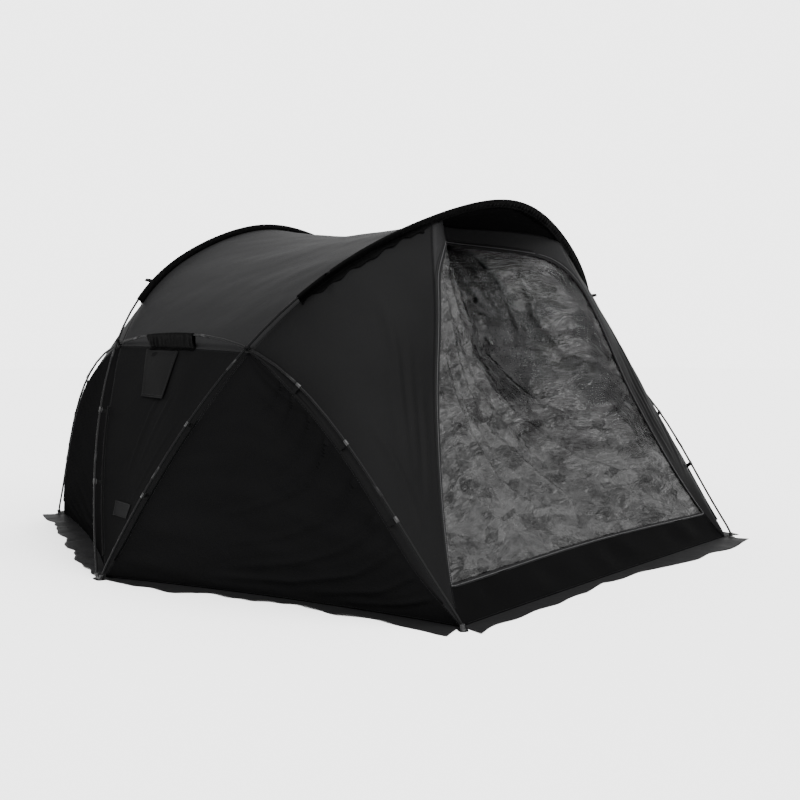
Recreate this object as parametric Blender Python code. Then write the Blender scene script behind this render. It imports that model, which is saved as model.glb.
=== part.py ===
"""Spherical dome tent: four bent poles that cross each other, with a fabric shell hung inside them.

Metres, +Z up. The front faces -Y. The origin is on the ground, at the middle of the tent.
Two main arches share their feet at the middle of the left and right sides and fan out, one to the front and one
to the rear. A side arch on the left and one on the right cross them. The shell is sewn from panels that meet
along seams under the poles.
"""

import math

import bmesh
import bpy
from mathutils import Vector
from mathutils.bvhtree import BVHTree
from mathutils.kdtree import KDTree

# Driving dimensions, in metres
MID_FOOT_X = 2.061
MID_FOOT_Y = -0.028
CORNER_FOOT_X = 1.361
CORNER_FOOT_Y = 1.992
MAIN_RISE = 2.423
SIDE_RISE = 1.341
FRONT_LEAN = math.radians(29.5)
REAR_LEAN = math.radians(25.3)
SIDE_LEAN = math.radians(10.2)
MID_FEET_APART = 0.030
POLE_RADIUS = 0.0065
FABRIC = 0.003
GAP = 0.0004
GROUND_LIFT = FABRIC + GAP

# How far each pole's bend departs from a plain half ellipse, as shares of its third, fifth and seventh waves
MAIN_WIDTH_WAVES = (0.0146, -0.0567)
MAIN_RISE_WAVES = (-0.106, -0.060, -0.019)
SIDE_LENGTH_WAVE = -0.026
SIDE_RISE_WAVES = (-0.176, -0.045, 0.0126)

# Where the poles cross, and where the end walls' upper corners lie, as angles along each pole
MAIN_CROSSING = 0.733
SIDE_CROSSING_FRONT = 1.2226
SIDE_CROSSING_REAR = 1.8449
WALL_CORNER = 1.227

# How far the seams lie inside the poles, in metres, and how soon they are drawn in to a foot or a crossing
LEG_INSET = 0.050
ROOF_INSET = 0.035
FOOT_INSET = 0.040
CROSSING_INSET = 0.028
SIDE_SEAM_OUT = 0.025
SEAM_REACH = 0.25
EDGE_REACH = 0.32

# How the seams and the lower edges curve, in metres or as a share of the pole's own bow
SIDE_TOP_KEEP = 0.10
WALL_SEAM_SAG = 0.082
WALL_SEAM_SKEW = 0.655
WALL_BASE_BOW = 0.010
SIDE_BASE_BOW = 0.055

# How far the panels hollow at their middles, in metres, and how deep the brim is as a share of the roof
ROOF_SAG = 0.107
WALL_PANEL_SAG = 0.02
TRIANGLE_SAG = 0.03
BRIM_DEPTH = 0.235

# The window's side margins as metres at the wall's foot and top, and its outline in shares of the wall
WINDOW_MARGINS = (0.012, 0.044)
WINDOW_SILL = 0.089
WINDOW_SHOULDER = 0.83
WINDOW_TOP = 0.937
WINDOW_CORNER_WIDTH = 0.15
WINDOW_CROWN = 0.012

# The skirts' widths at their middles and ends, in metres
SKIRT_WIDTH = 0.140
SKIRT_END_WIDTH = 0.085

# Divisions of the panels
LEG_STEPS = 9
TOP_STEPS = 10
CORNER_ARC_STEPS = 6
BRIM_STEPS = 12
WALL_STEPS = 16

FRONT, REAR = -1, 1
LEFT, RIGHT = -1, 1
END_NAMES = {FRONT: "front", REAR: "rear"}
SIDE_NAMES = {LEFT: "left", RIGHT: "right"}

COLOURS = {
    "shell_fabric": ((0.012, 0.012, 0.013), 0.62, 0.0),
    "roof_fabric": ((0.030, 0.030, 0.031), 0.55, 0.0),
    "window_film": ((0.050, 0.050, 0.052), 0.18, 0.0),
    "webbing": ((0.008, 0.008, 0.008), 0.80, 0.0),
    "pole": ((0.060, 0.060, 0.062), 0.35, 0.6),
}


def clear_scene():
    for obj in list(bpy.data.objects):
        bpy.data.objects.remove(obj, do_unlink=True)


def material(name):
    found = bpy.data.materials.get(name)
    if found:
        return found
    colour, roughness, metallic = COLOURS[name]
    made = bpy.data.materials.new(name)
    made.use_nodes = True
    shader = made.node_tree.nodes["Principled BSDF"]
    shader.inputs["Base Color"].default_value = (*colour, 1.0)
    shader.inputs["Roughness"].default_value = roughness
    shader.inputs["Metallic"].default_value = metallic
    made.diffuse_color = (*colour, 1.0)
    return made


def add_object(name, mesh_source, finish, smooth_angle=35.0):
    """Turns a bmesh into a named object with its material and smooth shading."""
    mesh = bpy.data.meshes.new(name)
    bmesh.ops.recalc_face_normals(mesh_source, faces=mesh_source.faces)
    mesh_source.to_mesh(mesh)
    mesh_source.free()
    mesh.materials.append(material(finish))
    mesh.shade_smooth()
    mesh.set_sharp_from_angle(angle=math.radians(smooth_angle))
    obj = bpy.data.objects.new(name, mesh)
    bpy.context.scene.collection.objects.link(obj)
    return obj


# The poles' centre lines


def rise(total, waves, t):
    """Height along an arch's own plane at the angle t, from 0 at one foot to pi at the other."""
    third, fifth, seventh = waves
    height = (1 + third - fifth + seventh) * math.sin(t)
    for number, wave in ((3, third), (5, fifth), (7, seventh)):
        height += wave * math.sin(number * t)
    return total * height


def main_arch(end, t):
    third, fifth = MAIN_WIDTH_WAVES
    across = (MID_FOOT_X - third - fifth) * math.cos(t) + third * math.cos(3 * t) + fifth * math.cos(5 * t)
    lean = FRONT_LEAN if end == FRONT else REAR_LEAN
    up = rise(MAIN_RISE, MAIN_RISE_WAVES, t)
    foot_y = MID_FOOT_Y + end * MID_FEET_APART / 2
    return Vector((-across, foot_y + end * up * math.sin(lean), up * math.cos(lean)))


def side_arch(side, t):
    along = (1 - SIDE_LENGTH_WAVE) * math.cos(t) + SIDE_LENGTH_WAVE * math.cos(3 * t)
    up = rise(SIDE_RISE, SIDE_RISE_WAVES, t)
    out = CORNER_FOOT_X + up * math.sin(SIDE_LEAN)
    return Vector((side * out, -CORNER_FOOT_Y * along, up * math.cos(SIDE_LEAN)))


def mirrored(points):
    return [Vector((-p.x, p.y, p.z)) for p in points]


def steps(start, end, count):
    return [start + (end - start) * i / count for i in range(count + 1)]


# The seams, which lie inside the poles

SMALL_ANGLE = 1e-4
LEG_CROWDING = 0.62
BASE_FULLNESS = 0.8
CORNER_LAST_STEP = 0.007
WALL_SAG_WAY = (0.915, -0.403)


def inwards_of(arch, t):
    """The way square to an arch in its own plane, towards its inside."""
    run = (arch(t + SMALL_ANGLE) - arch(t - SMALL_ANGLE)).normalized()
    way = (arch(0.0) + arch(math.pi)) / 2 - arch(t)
    way -= run * way.dot(run)
    return way.normalized()


def inside(arch, t, inset):
    return arch(t) + inwards_of(arch, t) * inset


def seam_foot(foot):
    """Where the seams meet on the ground, a little nearer the middle of the tent than a pole's foot."""
    moved = foot - foot.normalized() * FOOT_INSET
    return Vector((moved.x, moved.y, GROUND_LIFT))


def eased(share):
    """A share from 0 to 1 that starts and ends gently."""
    share = min(max(share, 0.0), 1.0)
    return share * share * (3 - 2 * share)


def seam(arch, angles, start, end, out=0.0):
    """A seam beside a pole's leg. It is drawn in to its start and its end, and may stand out sideways between."""
    from_start = start - inside(arch, angles[0], LEG_INSET)
    from_end = end - inside(arch, angles[-1], LEG_INSET)
    outwards = Vector((math.copysign(out, start.x), 0, 0))
    count = len(angles) - 1
    made = [start]
    for i in range(1, count):
        s = i / count
        place = inside(arch, angles[i], LEG_INSET) + outwards * min(1.0, min(s, 1 - s) / SEAM_REACH)
        place += from_start * (1 - eased(s / SEAM_REACH)) + from_end * (1 - eased((1 - s) / SEAM_REACH))
        made.append(place)
    return made + [end]


def leg_angles(top_angle, count=LEG_STEPS):
    """Angles from a foot to a crossing. They start wide, because an arch leaves its foot slowly."""
    return [top_angle * (i / count) ** LEG_CROWDING for i in range(count + 1)]


def base_line(start, end, bow, count):
    """The lower edge of a wall on the ground, bowed inwards between two feet."""
    middle = (start + end) / 2
    inwards = Vector((-middle.x, -middle.y, 0))
    run = (end - start).normalized()
    inwards -= run * inwards.dot(run)
    inwards.normalize()
    line = []
    for s in steps(0.0, 1.0, count):
        line.append(start.lerp(end, s) + inwards * bow * math.sin(math.pi * s) ** BASE_FULLNESS)
    return line


def wall_seam(end, foot, corner):
    """The slanting edge of the end wall, which sags inwards, with a last short step below the corner."""
    run = (corner - foot).length
    shares = [i / LEG_STEPS for i in range(LEG_STEPS + 1)]
    shares.insert(-1, 1 - CORNER_LAST_STEP / run)
    inwards = Vector((0, -end * WALL_SAG_WAY[0], WALL_SAG_WAY[1])) * WALL_SEAM_SAG
    return [foot.lerp(corner, s) + inwards * math.sin(math.pi * s ** WALL_SEAM_SKEW) for s in shares]


class Seams:
    """Every seam of the left half. The right half mirrors it."""

    def __init__(self):
        self.mid_foot = seam_foot(Vector((-MID_FOOT_X, MID_FOOT_Y, 0)))
        self.corner_foot, self.crossing, self.main_leg, self.side_leg = {}, {}, {}, {}
        self.corner_arc, self.brim, self.wall_side, self.corner = {}, {}, {}, {}
        self.side_base, self.end_base = {}, {}
        for end in (FRONT, REAR):
            self.add_end(end)
        self.add_side_top()

    def add_end(self, end):
        foot = seam_foot(Vector((-CORNER_FOOT_X, end * CORNER_FOOT_Y, 0)))
        side_crossing = SIDE_CROSSING_FRONT if end == FRONT else SIDE_CROSSING_REAR
        side_angles = leg_angles(SIDE_CROSSING_FRONT if end == FRONT else math.pi - SIDE_CROSSING_REAR)
        if end == REAR:
            side_angles = [math.pi - t for t in side_angles]

        def main(t):
            return main_arch(end, t)

        def beside(t):
            return side_arch(LEFT, t)

        way = inwards_of(main, MAIN_CROSSING) + inwards_of(beside, side_crossing)
        crossing = (main(MAIN_CROSSING) + beside(side_crossing)) / 2 + way.normalized() * CROSSING_INSET
        arc_angles = steps(MAIN_CROSSING, WALL_CORNER, CORNER_ARC_STEPS)
        offset = crossing - inside(main, MAIN_CROSSING, ROOF_INSET)
        arc = [crossing]
        for i, t in enumerate(arc_angles[1:], 1):
            arc.append(inside(main, t, ROOF_INSET) + offset * (1 - eased(i / CORNER_ARC_STEPS / EDGE_REACH)))
        self.corner_foot[end], self.crossing[end] = foot, crossing
        self.main_leg[end] = seam(main, leg_angles(MAIN_CROSSING), self.mid_foot, crossing)
        self.side_leg[end] = seam(beside, side_angles, foot, crossing, SIDE_SEAM_OUT)
        self.corner_arc[end], self.corner[end] = arc, arc[-1]
        brim_angles = steps(WALL_CORNER, math.pi - WALL_CORNER, BRIM_STEPS)
        self.brim[end] = [inside(main, t, ROOF_INSET) for t in brim_angles]
        self.wall_side[end] = wall_seam(end, foot, arc[-1])
        self.side_base[end] = base_line(self.mid_foot, foot, SIDE_BASE_BOW, WALL_STEPS)
        far_foot = Vector((-foot.x, foot.y, foot.z))
        self.end_base[end] = base_line(foot, far_foot, WALL_BASE_BOW, WALL_STEPS)

    def add_side_top(self):
        """The seam between the roof and a middle wall, which keeps a share of the side pole's bow."""
        front, rear = self.crossing[FRONT], self.crossing[REAR]
        pole = [side_arch(LEFT, t) for t in steps(SIDE_CROSSING_FRONT, SIDE_CROSSING_REAR, TOP_STEPS)]
        self.side_top = []
        for s, place in zip(steps(0.0, 1.0, TOP_STEPS), pole):
            bow = place - pole[0].lerp(pole[-1], s)
            self.side_top.append(front.lerp(rear, s) + bow * SIDE_TOP_KEEP)


# Curved panels between seams

SAME_PLACE = 1e-6
SAME_SEAM = 1e-5
SHELL_MIDDLE = 0.5
BORDER_SHRINK = 0.60
SHARPEST_CORNER = 0.25


def along(points, s):
    """The point at the share s of the way along a line of points."""
    place = min(max(s, 0.0), 1.0) * (len(points) - 1)
    i = min(int(place), len(points) - 2)
    return points[i].lerp(points[i + 1], place - i)


class Patch:
    """A Coons patch between four edges, sagging inwards by a few centimetres at its middle."""

    def __init__(self, bottom, top, left, right, sag=0.0, sag_way=(0, 0, 0)):
        self.bottom, self.top, self.left, self.right = bottom, top, left, right
        self.sag = Vector(sag_way) * sag

    def at(self, u, v):
        ruled_v = along(self.bottom, u).lerp(along(self.top, u), v)
        ruled_u = along(self.left, v).lerp(along(self.right, v), u)
        low = self.bottom[0].lerp(self.bottom[-1], u)
        high = self.top[0].lerp(self.top[-1], u)
        weight = 16 * u * (1 - u) * v * (1 - v)
        return ruled_v + ruled_u - low.lerp(high, v) + self.sag * weight

    def rows(self, across, up):
        return [[self.at(u, v) for u in across] for v in up]


def sheet_from_rows(rows):
    """A surface from rows of points, where points that coincide become one."""
    bm = bmesh.new()
    verts = [[bm.verts.new(p) for p in row] for row in rows]
    for low, high in zip(verts, verts[1:]):
        for i in range(len(low) - 1):
            bm.faces.new((low[i], low[i + 1], high[i + 1], high[i]))
    bmesh.ops.remove_doubles(bm, verts=bm.verts, dist=SAME_PLACE)
    return bm


class ShellPoints:
    """Numbers every place on the shell, with its outward normal averaged over the panels that meet there."""

    def __init__(self, sheets):
        corners = [v for bm in sheets for v in bm.verts]
        self.tree = KDTree(len(corners))
        for i, vert in enumerate(corners):
            self.tree.insert(vert.co, i)
        self.tree.balance()
        self.first = [min(i for _, i, _ in self.tree.find_range(v.co, SAME_SEAM)) for v in corners]
        self.total = [Vector() for _ in corners]
        for bm in sheets:
            self.add_faces(bm)

    def add_faces(self, bm):
        bm.normal_update()
        for face in bm.faces:
            outwards = face.normal * face.calc_area()
            away = face.calc_center_median() - Vector((0, 0, SHELL_MIDDLE))
            if outwards.dot(away) < 0:
                outwards = -outwards
            for vert in face.verts:
                self.total[self.number(vert.co)] += outwards

    def number(self, place):
        return self.first[self.tree.find(place)[1]]

    def normal(self, place):
        total = self.total[self.number(place)]
        if place.z < GROUND_LIFT + SAME_SEAM:
            total = Vector((total.x, total.y, 0))
        return total.normalized()


def edge_shrink(bm):
    """Moves that pull a sheet's border in by half a gap, square to each border edge."""
    moves = {}
    for vert in bm.verts:
        ways = []
        for edge in vert.link_edges:
            if len(edge.link_faces) != 1:
                continue
            run = (edge.verts[1].co - edge.verts[0].co).normalized()
            into = edge.link_faces[0].calc_center_median() - vert.co
            ways.append((into - run * into.dot(run)).normalized())
        if len(ways) == 2:
            total = ways[0] + ways[1]
            moves[vert.index] = total * (BORDER_SHRINK * GAP / max(SHARPEST_CORNER, 1 + ways[0].dot(ways[1])))
    return moves


def cut_in_triangles(faces):
    """Triangles in place of warped faces, so both copies of a sheet bend along the same lines."""
    return [[face[0], b, c] for face in faces for b, c in zip(face[1:], face[2:])]


def plate(name, finish, faces, upper, lower, order):
    """A closed solid between two copies of a sheet. The order picks each rim's diagonal, so neighbours agree."""
    solid = bmesh.new()
    faces = cut_in_triangles(faces)
    high = [solid.verts.new(p) for p in upper]
    low = [solid.verts.new(p) for p in lower]
    uses = {}
    for face in faces:
        solid.faces.new([high[i] for i in face])
        solid.faces.new([low[i] for i in reversed(face)])
        for a, b in zip(face, face[1:] + face[:1]):
            uses[(min(a, b), max(a, b))] = uses.get((min(a, b), max(a, b)), 0) + 1
    for (a, b), count in uses.items():
        if count != 1:
            continue
        if order[a] > order[b]:
            a, b = b, a
        solid.faces.new((high[a], high[b], low[b]))
        solid.faces.new((high[a], low[b], low[a]))
    loose = [v for v in solid.verts if not v.link_faces]
    bmesh.ops.delete(solid, geom=loose, context="VERTS")
    return add_object(name, solid, finish)


def thicken(bm, points, name, finish):
    """Gives a sheet its thickness inwards, and closes it round its border."""
    bm.verts.index_update()
    moves = edge_shrink(bm)
    upper = [v.co + moves.get(v.index, Vector()) for v in bm.verts]
    lower = [place - points.normal(v.co) * FABRIC for v, place in zip(bm.verts, upper)]
    order = [points.number(v.co) for v in bm.verts]
    faces = [[v.index for v in f.verts] for f in bm.faces]
    bm.free()
    return plate(name, finish, faces, upper, lower, order)


# The end walls and their windows, in shares of the wall's width and height

WINDOW_SIDE_STEPS = 8
WINDOW_CORNER_STEPS = 5
WINDOW_COLUMNS = 14


def window_margin(patch, v):
    """The window's margin at a height, as a share of the wall's width there."""
    low, high = WINDOW_MARGINS
    return (low + (high - low) * v) / (along(patch.right, v) - along(patch.left, v)).length


def window_edge(patch):
    """The window's left edge, from the sill up and round its upper corner."""
    edge = [(window_margin(patch, v), v) for v in steps(WINDOW_SILL, WINDOW_SHOULDER, WINDOW_SIDE_STEPS)]
    height = WINDOW_TOP - WINDOW_CROWN - WINDOW_SHOULDER
    for a in steps(0.0, math.pi / 2, WINDOW_CORNER_STEPS)[1:]:
        v = WINDOW_SHOULDER + height * math.sin(a)
        edge.append((window_margin(patch, v) + WINDOW_CORNER_WIDTH * (1 - math.cos(a)), v))
    return edge


def window_sill(edge):
    return [(u, WINDOW_SILL) for u in steps(edge[0][0], 1 - edge[0][0], WINDOW_COLUMNS)]


def window_crown(edge):
    """The window's arched top, from its left corner to its right one."""
    first, base = edge[-1]
    crown = [(first + (1 - 2 * first) * s, base + WINDOW_CROWN * math.sin(math.pi * s))
             for s in steps(0.0, 1.0, WINDOW_COLUMNS)[1:-1]]
    return [edge[-1]] + crown + [(1 - first, base)]


def window_runs(patch):
    """The window's outline in four runs: along the sill, up the right, over the top and down the left."""
    edge = window_edge(patch)
    up, bend = edge[:WINDOW_SIDE_STEPS + 1], edge[WINDOW_SIDE_STEPS:]
    right_bend = [(1 - u, v) for u, v in bend]
    top = right_bend + list(reversed(window_crown(edge)))[1:-1] + list(reversed(bend))
    return [window_sill(edge), [(1 - u, v) for u, v in up], top, list(reversed(up))]


def wall_runs():
    """The whole wall's outline, in the same four runs."""
    side = steps(0.0, 1.0, LEG_STEPS)
    return [
        [(u, 0.0) for u in steps(0.0, 1.0, WALL_STEPS)],
        [(1.0, v) for v in side],
        [(u, 1.0) for u in steps(1.0, 0.0, BRIM_STEPS)],
        [(0.0, v) for v in reversed(side)],
    ]


def next_order(run, i, order):
    """How far along a run its next length lies, or endlessly far when the run is used up."""
    return order(run[i]) + order(run[i + 1]) if i < len(run) - 1 else math.inf


def add_strip(bm, patch, outer, inner, order):
    """Triangles between two runs of unlike counts. The order says how far along each point is."""
    far = [bm.verts.new(patch.at(*share)) for share in outer]
    near = [bm.verts.new(patch.at(*share)) for share in inner]
    i = j = 0
    while i < len(outer) - 1 or j < len(inner) - 1:
        if next_order(outer, i, order) <= next_order(inner, j, order):
            bm.faces.new((far[i], far[i + 1], near[j]))
            i += 1
        else:
            bm.faces.new((far[i], near[j + 1], near[j]))
            j += 1


def surround_sheet(patch):
    """The end wall's fabric round its window."""
    bm = bmesh.new()
    orders = (lambda p: p[0], lambda p: p[1], lambda p: -p[0], lambda p: -p[1])
    for outer, inner, order in zip(wall_runs(), window_runs(patch), orders):
        add_strip(bm, patch, outer, inner, order)
    bmesh.ops.remove_doubles(bm, verts=bm.verts, dist=SAME_PLACE)
    bmesh.ops.recalc_face_normals(bm, faces=bm.faces)
    return bm


def window_sheet(patch):
    """The window's film, in level rows from the sill to its arched top."""
    edge = window_edge(patch)
    rows = [window_sill(edge)]
    for u, v in edge[1:-1]:
        rows.append([(x, v) for x in steps(u, 1 - u, WINDOW_COLUMNS)])
    rows.append(window_crown(edge))
    return sheet_from_rows([[patch.at(*share) for share in row] for row in rows])


# The shell

BRIM_FULLNESS = 1.6
RAY_START = 0.3
WALL_TOP_DROP = FABRIC * 1.6 + 2 * GAP


def roof_patch(seams):
    edges = {}
    for end in (FRONT, REAR):
        arc, brim = seams.corner_arc[end], seams.brim[end]
        far_arc = list(reversed(mirrored(arc)))
        edges[end] = arc + brim[1:] + far_arc[1:]
    left, right = seams.side_top, mirrored(seams.side_top)
    return Patch(edges[FRONT], edges[REAR], left, right, ROOF_SAG, (0, 0, -1))


def roof_sheet(patch):
    across = steps(0.0, 1.0, len(patch.bottom) - 1)
    return sheet_from_rows(patch.rows(across, steps(0.0, 1.0, TOP_STEPS)))


def wall_top(end, roof, roof_tree):
    """The end wall's upper edge, which is sewn to the roof's underside behind the brim."""
    count = len(roof.bottom) - 1
    first, last = CORNER_ARC_STEPS / count, 1 - CORNER_ARC_STEPS / count
    line = []
    for s in steps(0.0, 1.0, BRIM_STEPS):
        depth = BRIM_DEPTH * math.sin(math.pi * s) ** BRIM_FULLNESS
        place = roof.at(first + (last - first) * s, depth if end == FRONT else 1 - depth)
        found = roof_tree.ray_cast(place - Vector((0, 0, RAY_START)), Vector((0, 0, 1)))
        hit = found[0] if found[0] else place
        line.append(hit - Vector((0, 0, WALL_TOP_DROP)))
    return line


def wall_patch(seams, end, roof, roof_tree):
    side = seams.wall_side[end][:-1]
    top = wall_top(end, roof, roof_tree)
    top[0], top[-1] = side[-1], mirrored(side)[-1]
    return Patch(seams.end_base[end], top, side, mirrored(side))


def middle_patch(seams, side):
    """The wall between the two main arches, which narrows to a point at their shared foot."""
    if side == LEFT:
        foot, top = seams.mid_foot, seams.side_top
        rear, front = seams.main_leg[REAR], seams.main_leg[FRONT]
    else:
        foot, top = mirrored([seams.mid_foot])[0], mirrored(seams.side_top)
        rear, front = mirrored(seams.main_leg[REAR]), mirrored(seams.main_leg[FRONT])
    return Patch([foot] * 2, list(reversed(top)), rear, front, WALL_PANEL_SAG, (-side, 0, 0))


def middle_sheet(patch):
    return sheet_from_rows(patch.rows(steps(0.0, 1.0, TOP_STEPS), steps(0.0, 1.0, LEG_STEPS)))


def shell_sheets(seams):
    """Each panel's outer surface, with its node's name and finish."""
    roof = roof_patch(seams)
    roof_bm = roof_sheet(roof)
    roof_tree = BVHTree.FromBMesh(roof_bm)
    found = [("roof_panel", roof_bm, "roof_fabric")]
    legs = steps(0.0, 1.0, LEG_STEPS)
    for end in (FRONT, REAR):
        wall = wall_patch(seams, end, roof, roof_tree)
        found.append((f"{END_NAMES[end]}_wall", surround_sheet(wall), "shell_fabric"))
        found.append((f"{END_NAMES[end]}_window", window_sheet(wall), "window_film"))
    for side in (LEFT, RIGHT):
        place = (lambda points: points) if side == LEFT else mirrored
        name = SIDE_NAMES[side]
        for end in (FRONT, REAR):
            main_leg, side_leg = place(seams.main_leg[end]), place(seams.side_leg[end])
            crossing = [main_leg[-1]] * 2
            low = Patch(place(seams.side_base[end]), crossing, main_leg, side_leg, TRIANGLE_SAG, (-side, 0, 0))
            rows = low.rows(steps(0.0, 1.0, WALL_STEPS // 2), legs)
            found.append((f"{name}_{END_NAMES[end]}_wall", sheet_from_rows(rows), "shell_fabric"))
            wall_side = place(seams.wall_side[end])
            foot = [wall_side[0]] * 2
            corner = Patch(foot, place(seams.corner_arc[end]), side_leg, wall_side, WALL_PANEL_SAG, (0, -end, 0))
            found.append((f"{END_NAMES[end]}_{name}_panel", corner_sheet(corner), "shell_fabric"))
        found.append((f"{name}_middle_wall", middle_sheet(middle_patch(seams, side)), "shell_fabric"))
    return found


def corner_sheet(patch):
    """A corner panel, whose two long edges have unlike numbers of points."""
    across = steps(0.0, 1.0, CORNER_ARC_STEPS)
    left_up = steps(0.0, 1.0, LEG_STEPS)
    rows = patch.rows(across, left_up)
    for row, v in zip(rows, left_up):
        row[-1] = along(patch.right[:-2] + [patch.right[-1]], v)
    bm = sheet_from_rows(rows)
    extra = patch.right[-2]
    target = patch.right[-1]
    bm.verts.ensure_lookup_table()
    corner = min(bm.verts, key=lambda v: (v.co - target).length)
    for edge in list(corner.link_edges):
        other = edge.other_vert(corner)
        if len(edge.link_faces) == 1 and (other.co - patch.right[-3]).length < SAME_SEAM:
            _, split = bmesh.utils.edge_split(edge, corner, 0.5)
            split.co = extra
    return bm


def build_shell(seams):
    found = shell_sheets(seams)
    points = ShellPoints([bm for _, bm, _ in found])
    for name, bm, finish in found:
        thicken(bm, points, name, finish)


# What lies on the side walls

FLAP_CORNERS = ((0.33, 0.755), (0.55, 0.755), (0.51, 0.985), (0.24, 0.985))
FLAP_STAND_OFFS = (0.009, 0.0008)
LABEL_CORNERS = ((0.27, 0.295), (0.66, 0.295), (0.66, 0.352), (0.29, 0.352))
LABEL_STAND_OFFS = (0.0008, 0.0008)
OVERLAY = 0.002
OVERLAY_STEPS = 4


def add_overlay(name, finish, patch, tree, corners, stand_offs):
    """A piece sewn onto a wall: its corners are shares of the wall's width and height."""
    low_left, low_right, high_right, high_left = [Vector(c) for c in corners]
    lower, upper, faces = [], [], []
    for v in steps(0.0, 1.0, OVERLAY_STEPS):
        for u in steps(0.0, 1.0, OVERLAY_STEPS):
            share = low_left.lerp(low_right, u).lerp(high_left.lerp(high_right, u), v)
            place, normal = tree.find_nearest(patch.at(*share))[:2]
            if normal.x * place.x < 0:
                normal = -normal
            lift = stand_offs[0] + (stand_offs[1] - stand_offs[0]) * v
            lower.append(place + normal * lift)
            upper.append(place + normal * (lift + OVERLAY))
    row = OVERLAY_STEPS + 1
    for j in range(OVERLAY_STEPS):
        for i in range(OVERLAY_STEPS):
            k = j * row + i
            faces.append([k, k + 1, k + row + 1, k + row])
    plate(name, finish, faces, upper, lower, list(range(len(lower))))


def add_overlays(seams):
    for side in (LEFT, RIGHT):
        patch = middle_patch(seams, side)
        sheet = middle_sheet(patch)
        tree = BVHTree.FromBMesh(sheet)
        sheet.free()
        name = SIDE_NAMES[side]
        add_overlay(f"{name}_vent_flap", "shell_fabric", patch, tree, FLAP_CORNERS, FLAP_STAND_OFFS)
        if side == LEFT:
            add_overlay("label_patch", "webbing", patch, tree, LABEL_CORNERS, LABEL_STAND_OFFS)


# The poles, and what is threaded or clipped onto them

POLE_SIDES = 8
TIP_HEIGHT = 0.0078
SLEEVE_INNER = 0.0074
SLEEVE_OUTER = 0.0098
SLEEVE_FIN = 0.00125
SLEEVE_SIDES = 13
FIN_TIP = 0.0003
FIN_STAND_OFF = 0.0009
MAIN_SLEEVE_START = 0.859
SIDE_SLEEVE = (1.457, 1.680)
MAIN_CLIPS = (0.420, 0.575)
SIDE_CLIPS = (0.635, 0.850, 1.032)
CLIP_WIDTH = 0.030
HOOK_RADIUS = 0.0086
HOOK_END = math.radians(240)
HOOK_STEPS = 8
TAPE_WIDTH = 0.012
TAPE = 0.002


class Rail:
    """A pole's stations: each has its angle, its place, and the seam point that hangs from it."""

    def __init__(self, arch, angles, seam_points, extra):
        self.arch = arch
        self.stations = [(t, arch(t), s) for t, s in zip(angles, seam_points)]
        for t in extra:
            self.insert(t)
        self.frames = [self.frame(i) for i in range(len(self.stations))]

    def insert(self, t):
        i = next(i for i, station in enumerate(self.stations) if station[0] > t)
        (_, p0, s0), (_, p1, s1) = self.stations[i - 1], self.stations[i]
        place = self.arch(t)
        before, after = (place - p0).length, (p1 - place).length
        self.stations.insert(i, (t, place, s0.lerp(s1, before / (before + after))))

    def frame(self, i):
        last = len(self.stations) - 1
        tangent = self.stations[min(i + 1, last)][1] - self.stations[max(i - 1, 0)][1]
        tangent.normalize()
        _, place, on_seam = self.stations[i]
        inwards = on_seam - place
        inwards -= tangent * inwards.dot(tangent)
        inwards.normalize()
        return inwards, tangent.cross(inwards)

    def between(self, start, end):
        found = zip(self.stations, self.frames)
        return [(*station, *frame) for station, frame in found if start - 1e-6 < station[0] < end + 1e-6]


def clip_edges(arch, clips):
    edges = []
    for t in both_legs(clips):
        half = CLIP_WIDTH / 2 / ((arch(t + 0.01) - arch(t - 0.01)).length / 0.02)
        edges.append((t - half, t + half))
    return edges


def both_legs(angles):
    return list(angles) + [math.pi - t for t in reversed(angles)]


def main_rail(seams, end):
    near_angles = leg_angles(MAIN_CROSSING) + steps(MAIN_CROSSING, WALL_CORNER, CORNER_ARC_STEPS)[1:]
    brim = steps(WALL_CORNER, math.pi - WALL_CORNER, BRIM_STEPS)[1:-1]
    angles = near_angles + brim + [math.pi - t for t in reversed(near_angles)]
    near = seams.main_leg[end] + seams.corner_arc[end][1:]
    points = near + seams.brim[end][1:-1] + list(reversed(mirrored(near)))

    def arch(t):
        return main_arch(end, t)

    edges = clip_edges(arch, MAIN_CLIPS)
    extra = [t for pair in edges for t in pair] + both_legs([MAIN_SLEEVE_START])
    return Rail(arch, angles, points, extra), edges


def side_rail(seams, side):
    front, rear = leg_angles(SIDE_CROSSING_FRONT), leg_angles(math.pi - SIDE_CROSSING_REAR)
    top = steps(SIDE_CROSSING_FRONT, SIDE_CROSSING_REAR, TOP_STEPS)
    angles = front + top[1:-1] + [math.pi - t for t in reversed(rear)]
    points = seams.side_leg[FRONT] + seams.side_top[1:-1] + list(reversed(seams.side_leg[REAR]))
    if side == RIGHT:
        points = mirrored(points)

    def arch(t):
        return side_arch(side, t)

    edges = clip_edges(arch, SIDE_CLIPS)
    extra = [t for pair in edges for t in pair] + list(SIDE_SLEEVE)
    return Rail(arch, angles, points, extra), edges


def circle_point(place, inwards, across, radius, angle):
    return place + inwards * radius * math.cos(angle) + across * radius * math.sin(angle)


def loft(name, finish, rings):
    """A solid through rings with equal numbers of points, closed by a cap at each end."""
    bm = bmesh.new()
    loops = [[bm.verts.new(p) for p in ring] for ring in rings]
    count = len(loops[0])
    for low, high in zip(loops, loops[1:]):
        for i in range(count):
            j = (i + 1) % count
            bm.faces.new((low[i], low[j], high[j], high[i]))
    bm.faces.new(reversed(loops[0]))
    bm.faces.new(loops[-1])
    return add_object(name, bm, finish)


def pole_tip(place, towards):
    run = towards - place
    return place + run * ((TIP_HEIGHT - place.z) / run.z)


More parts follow.
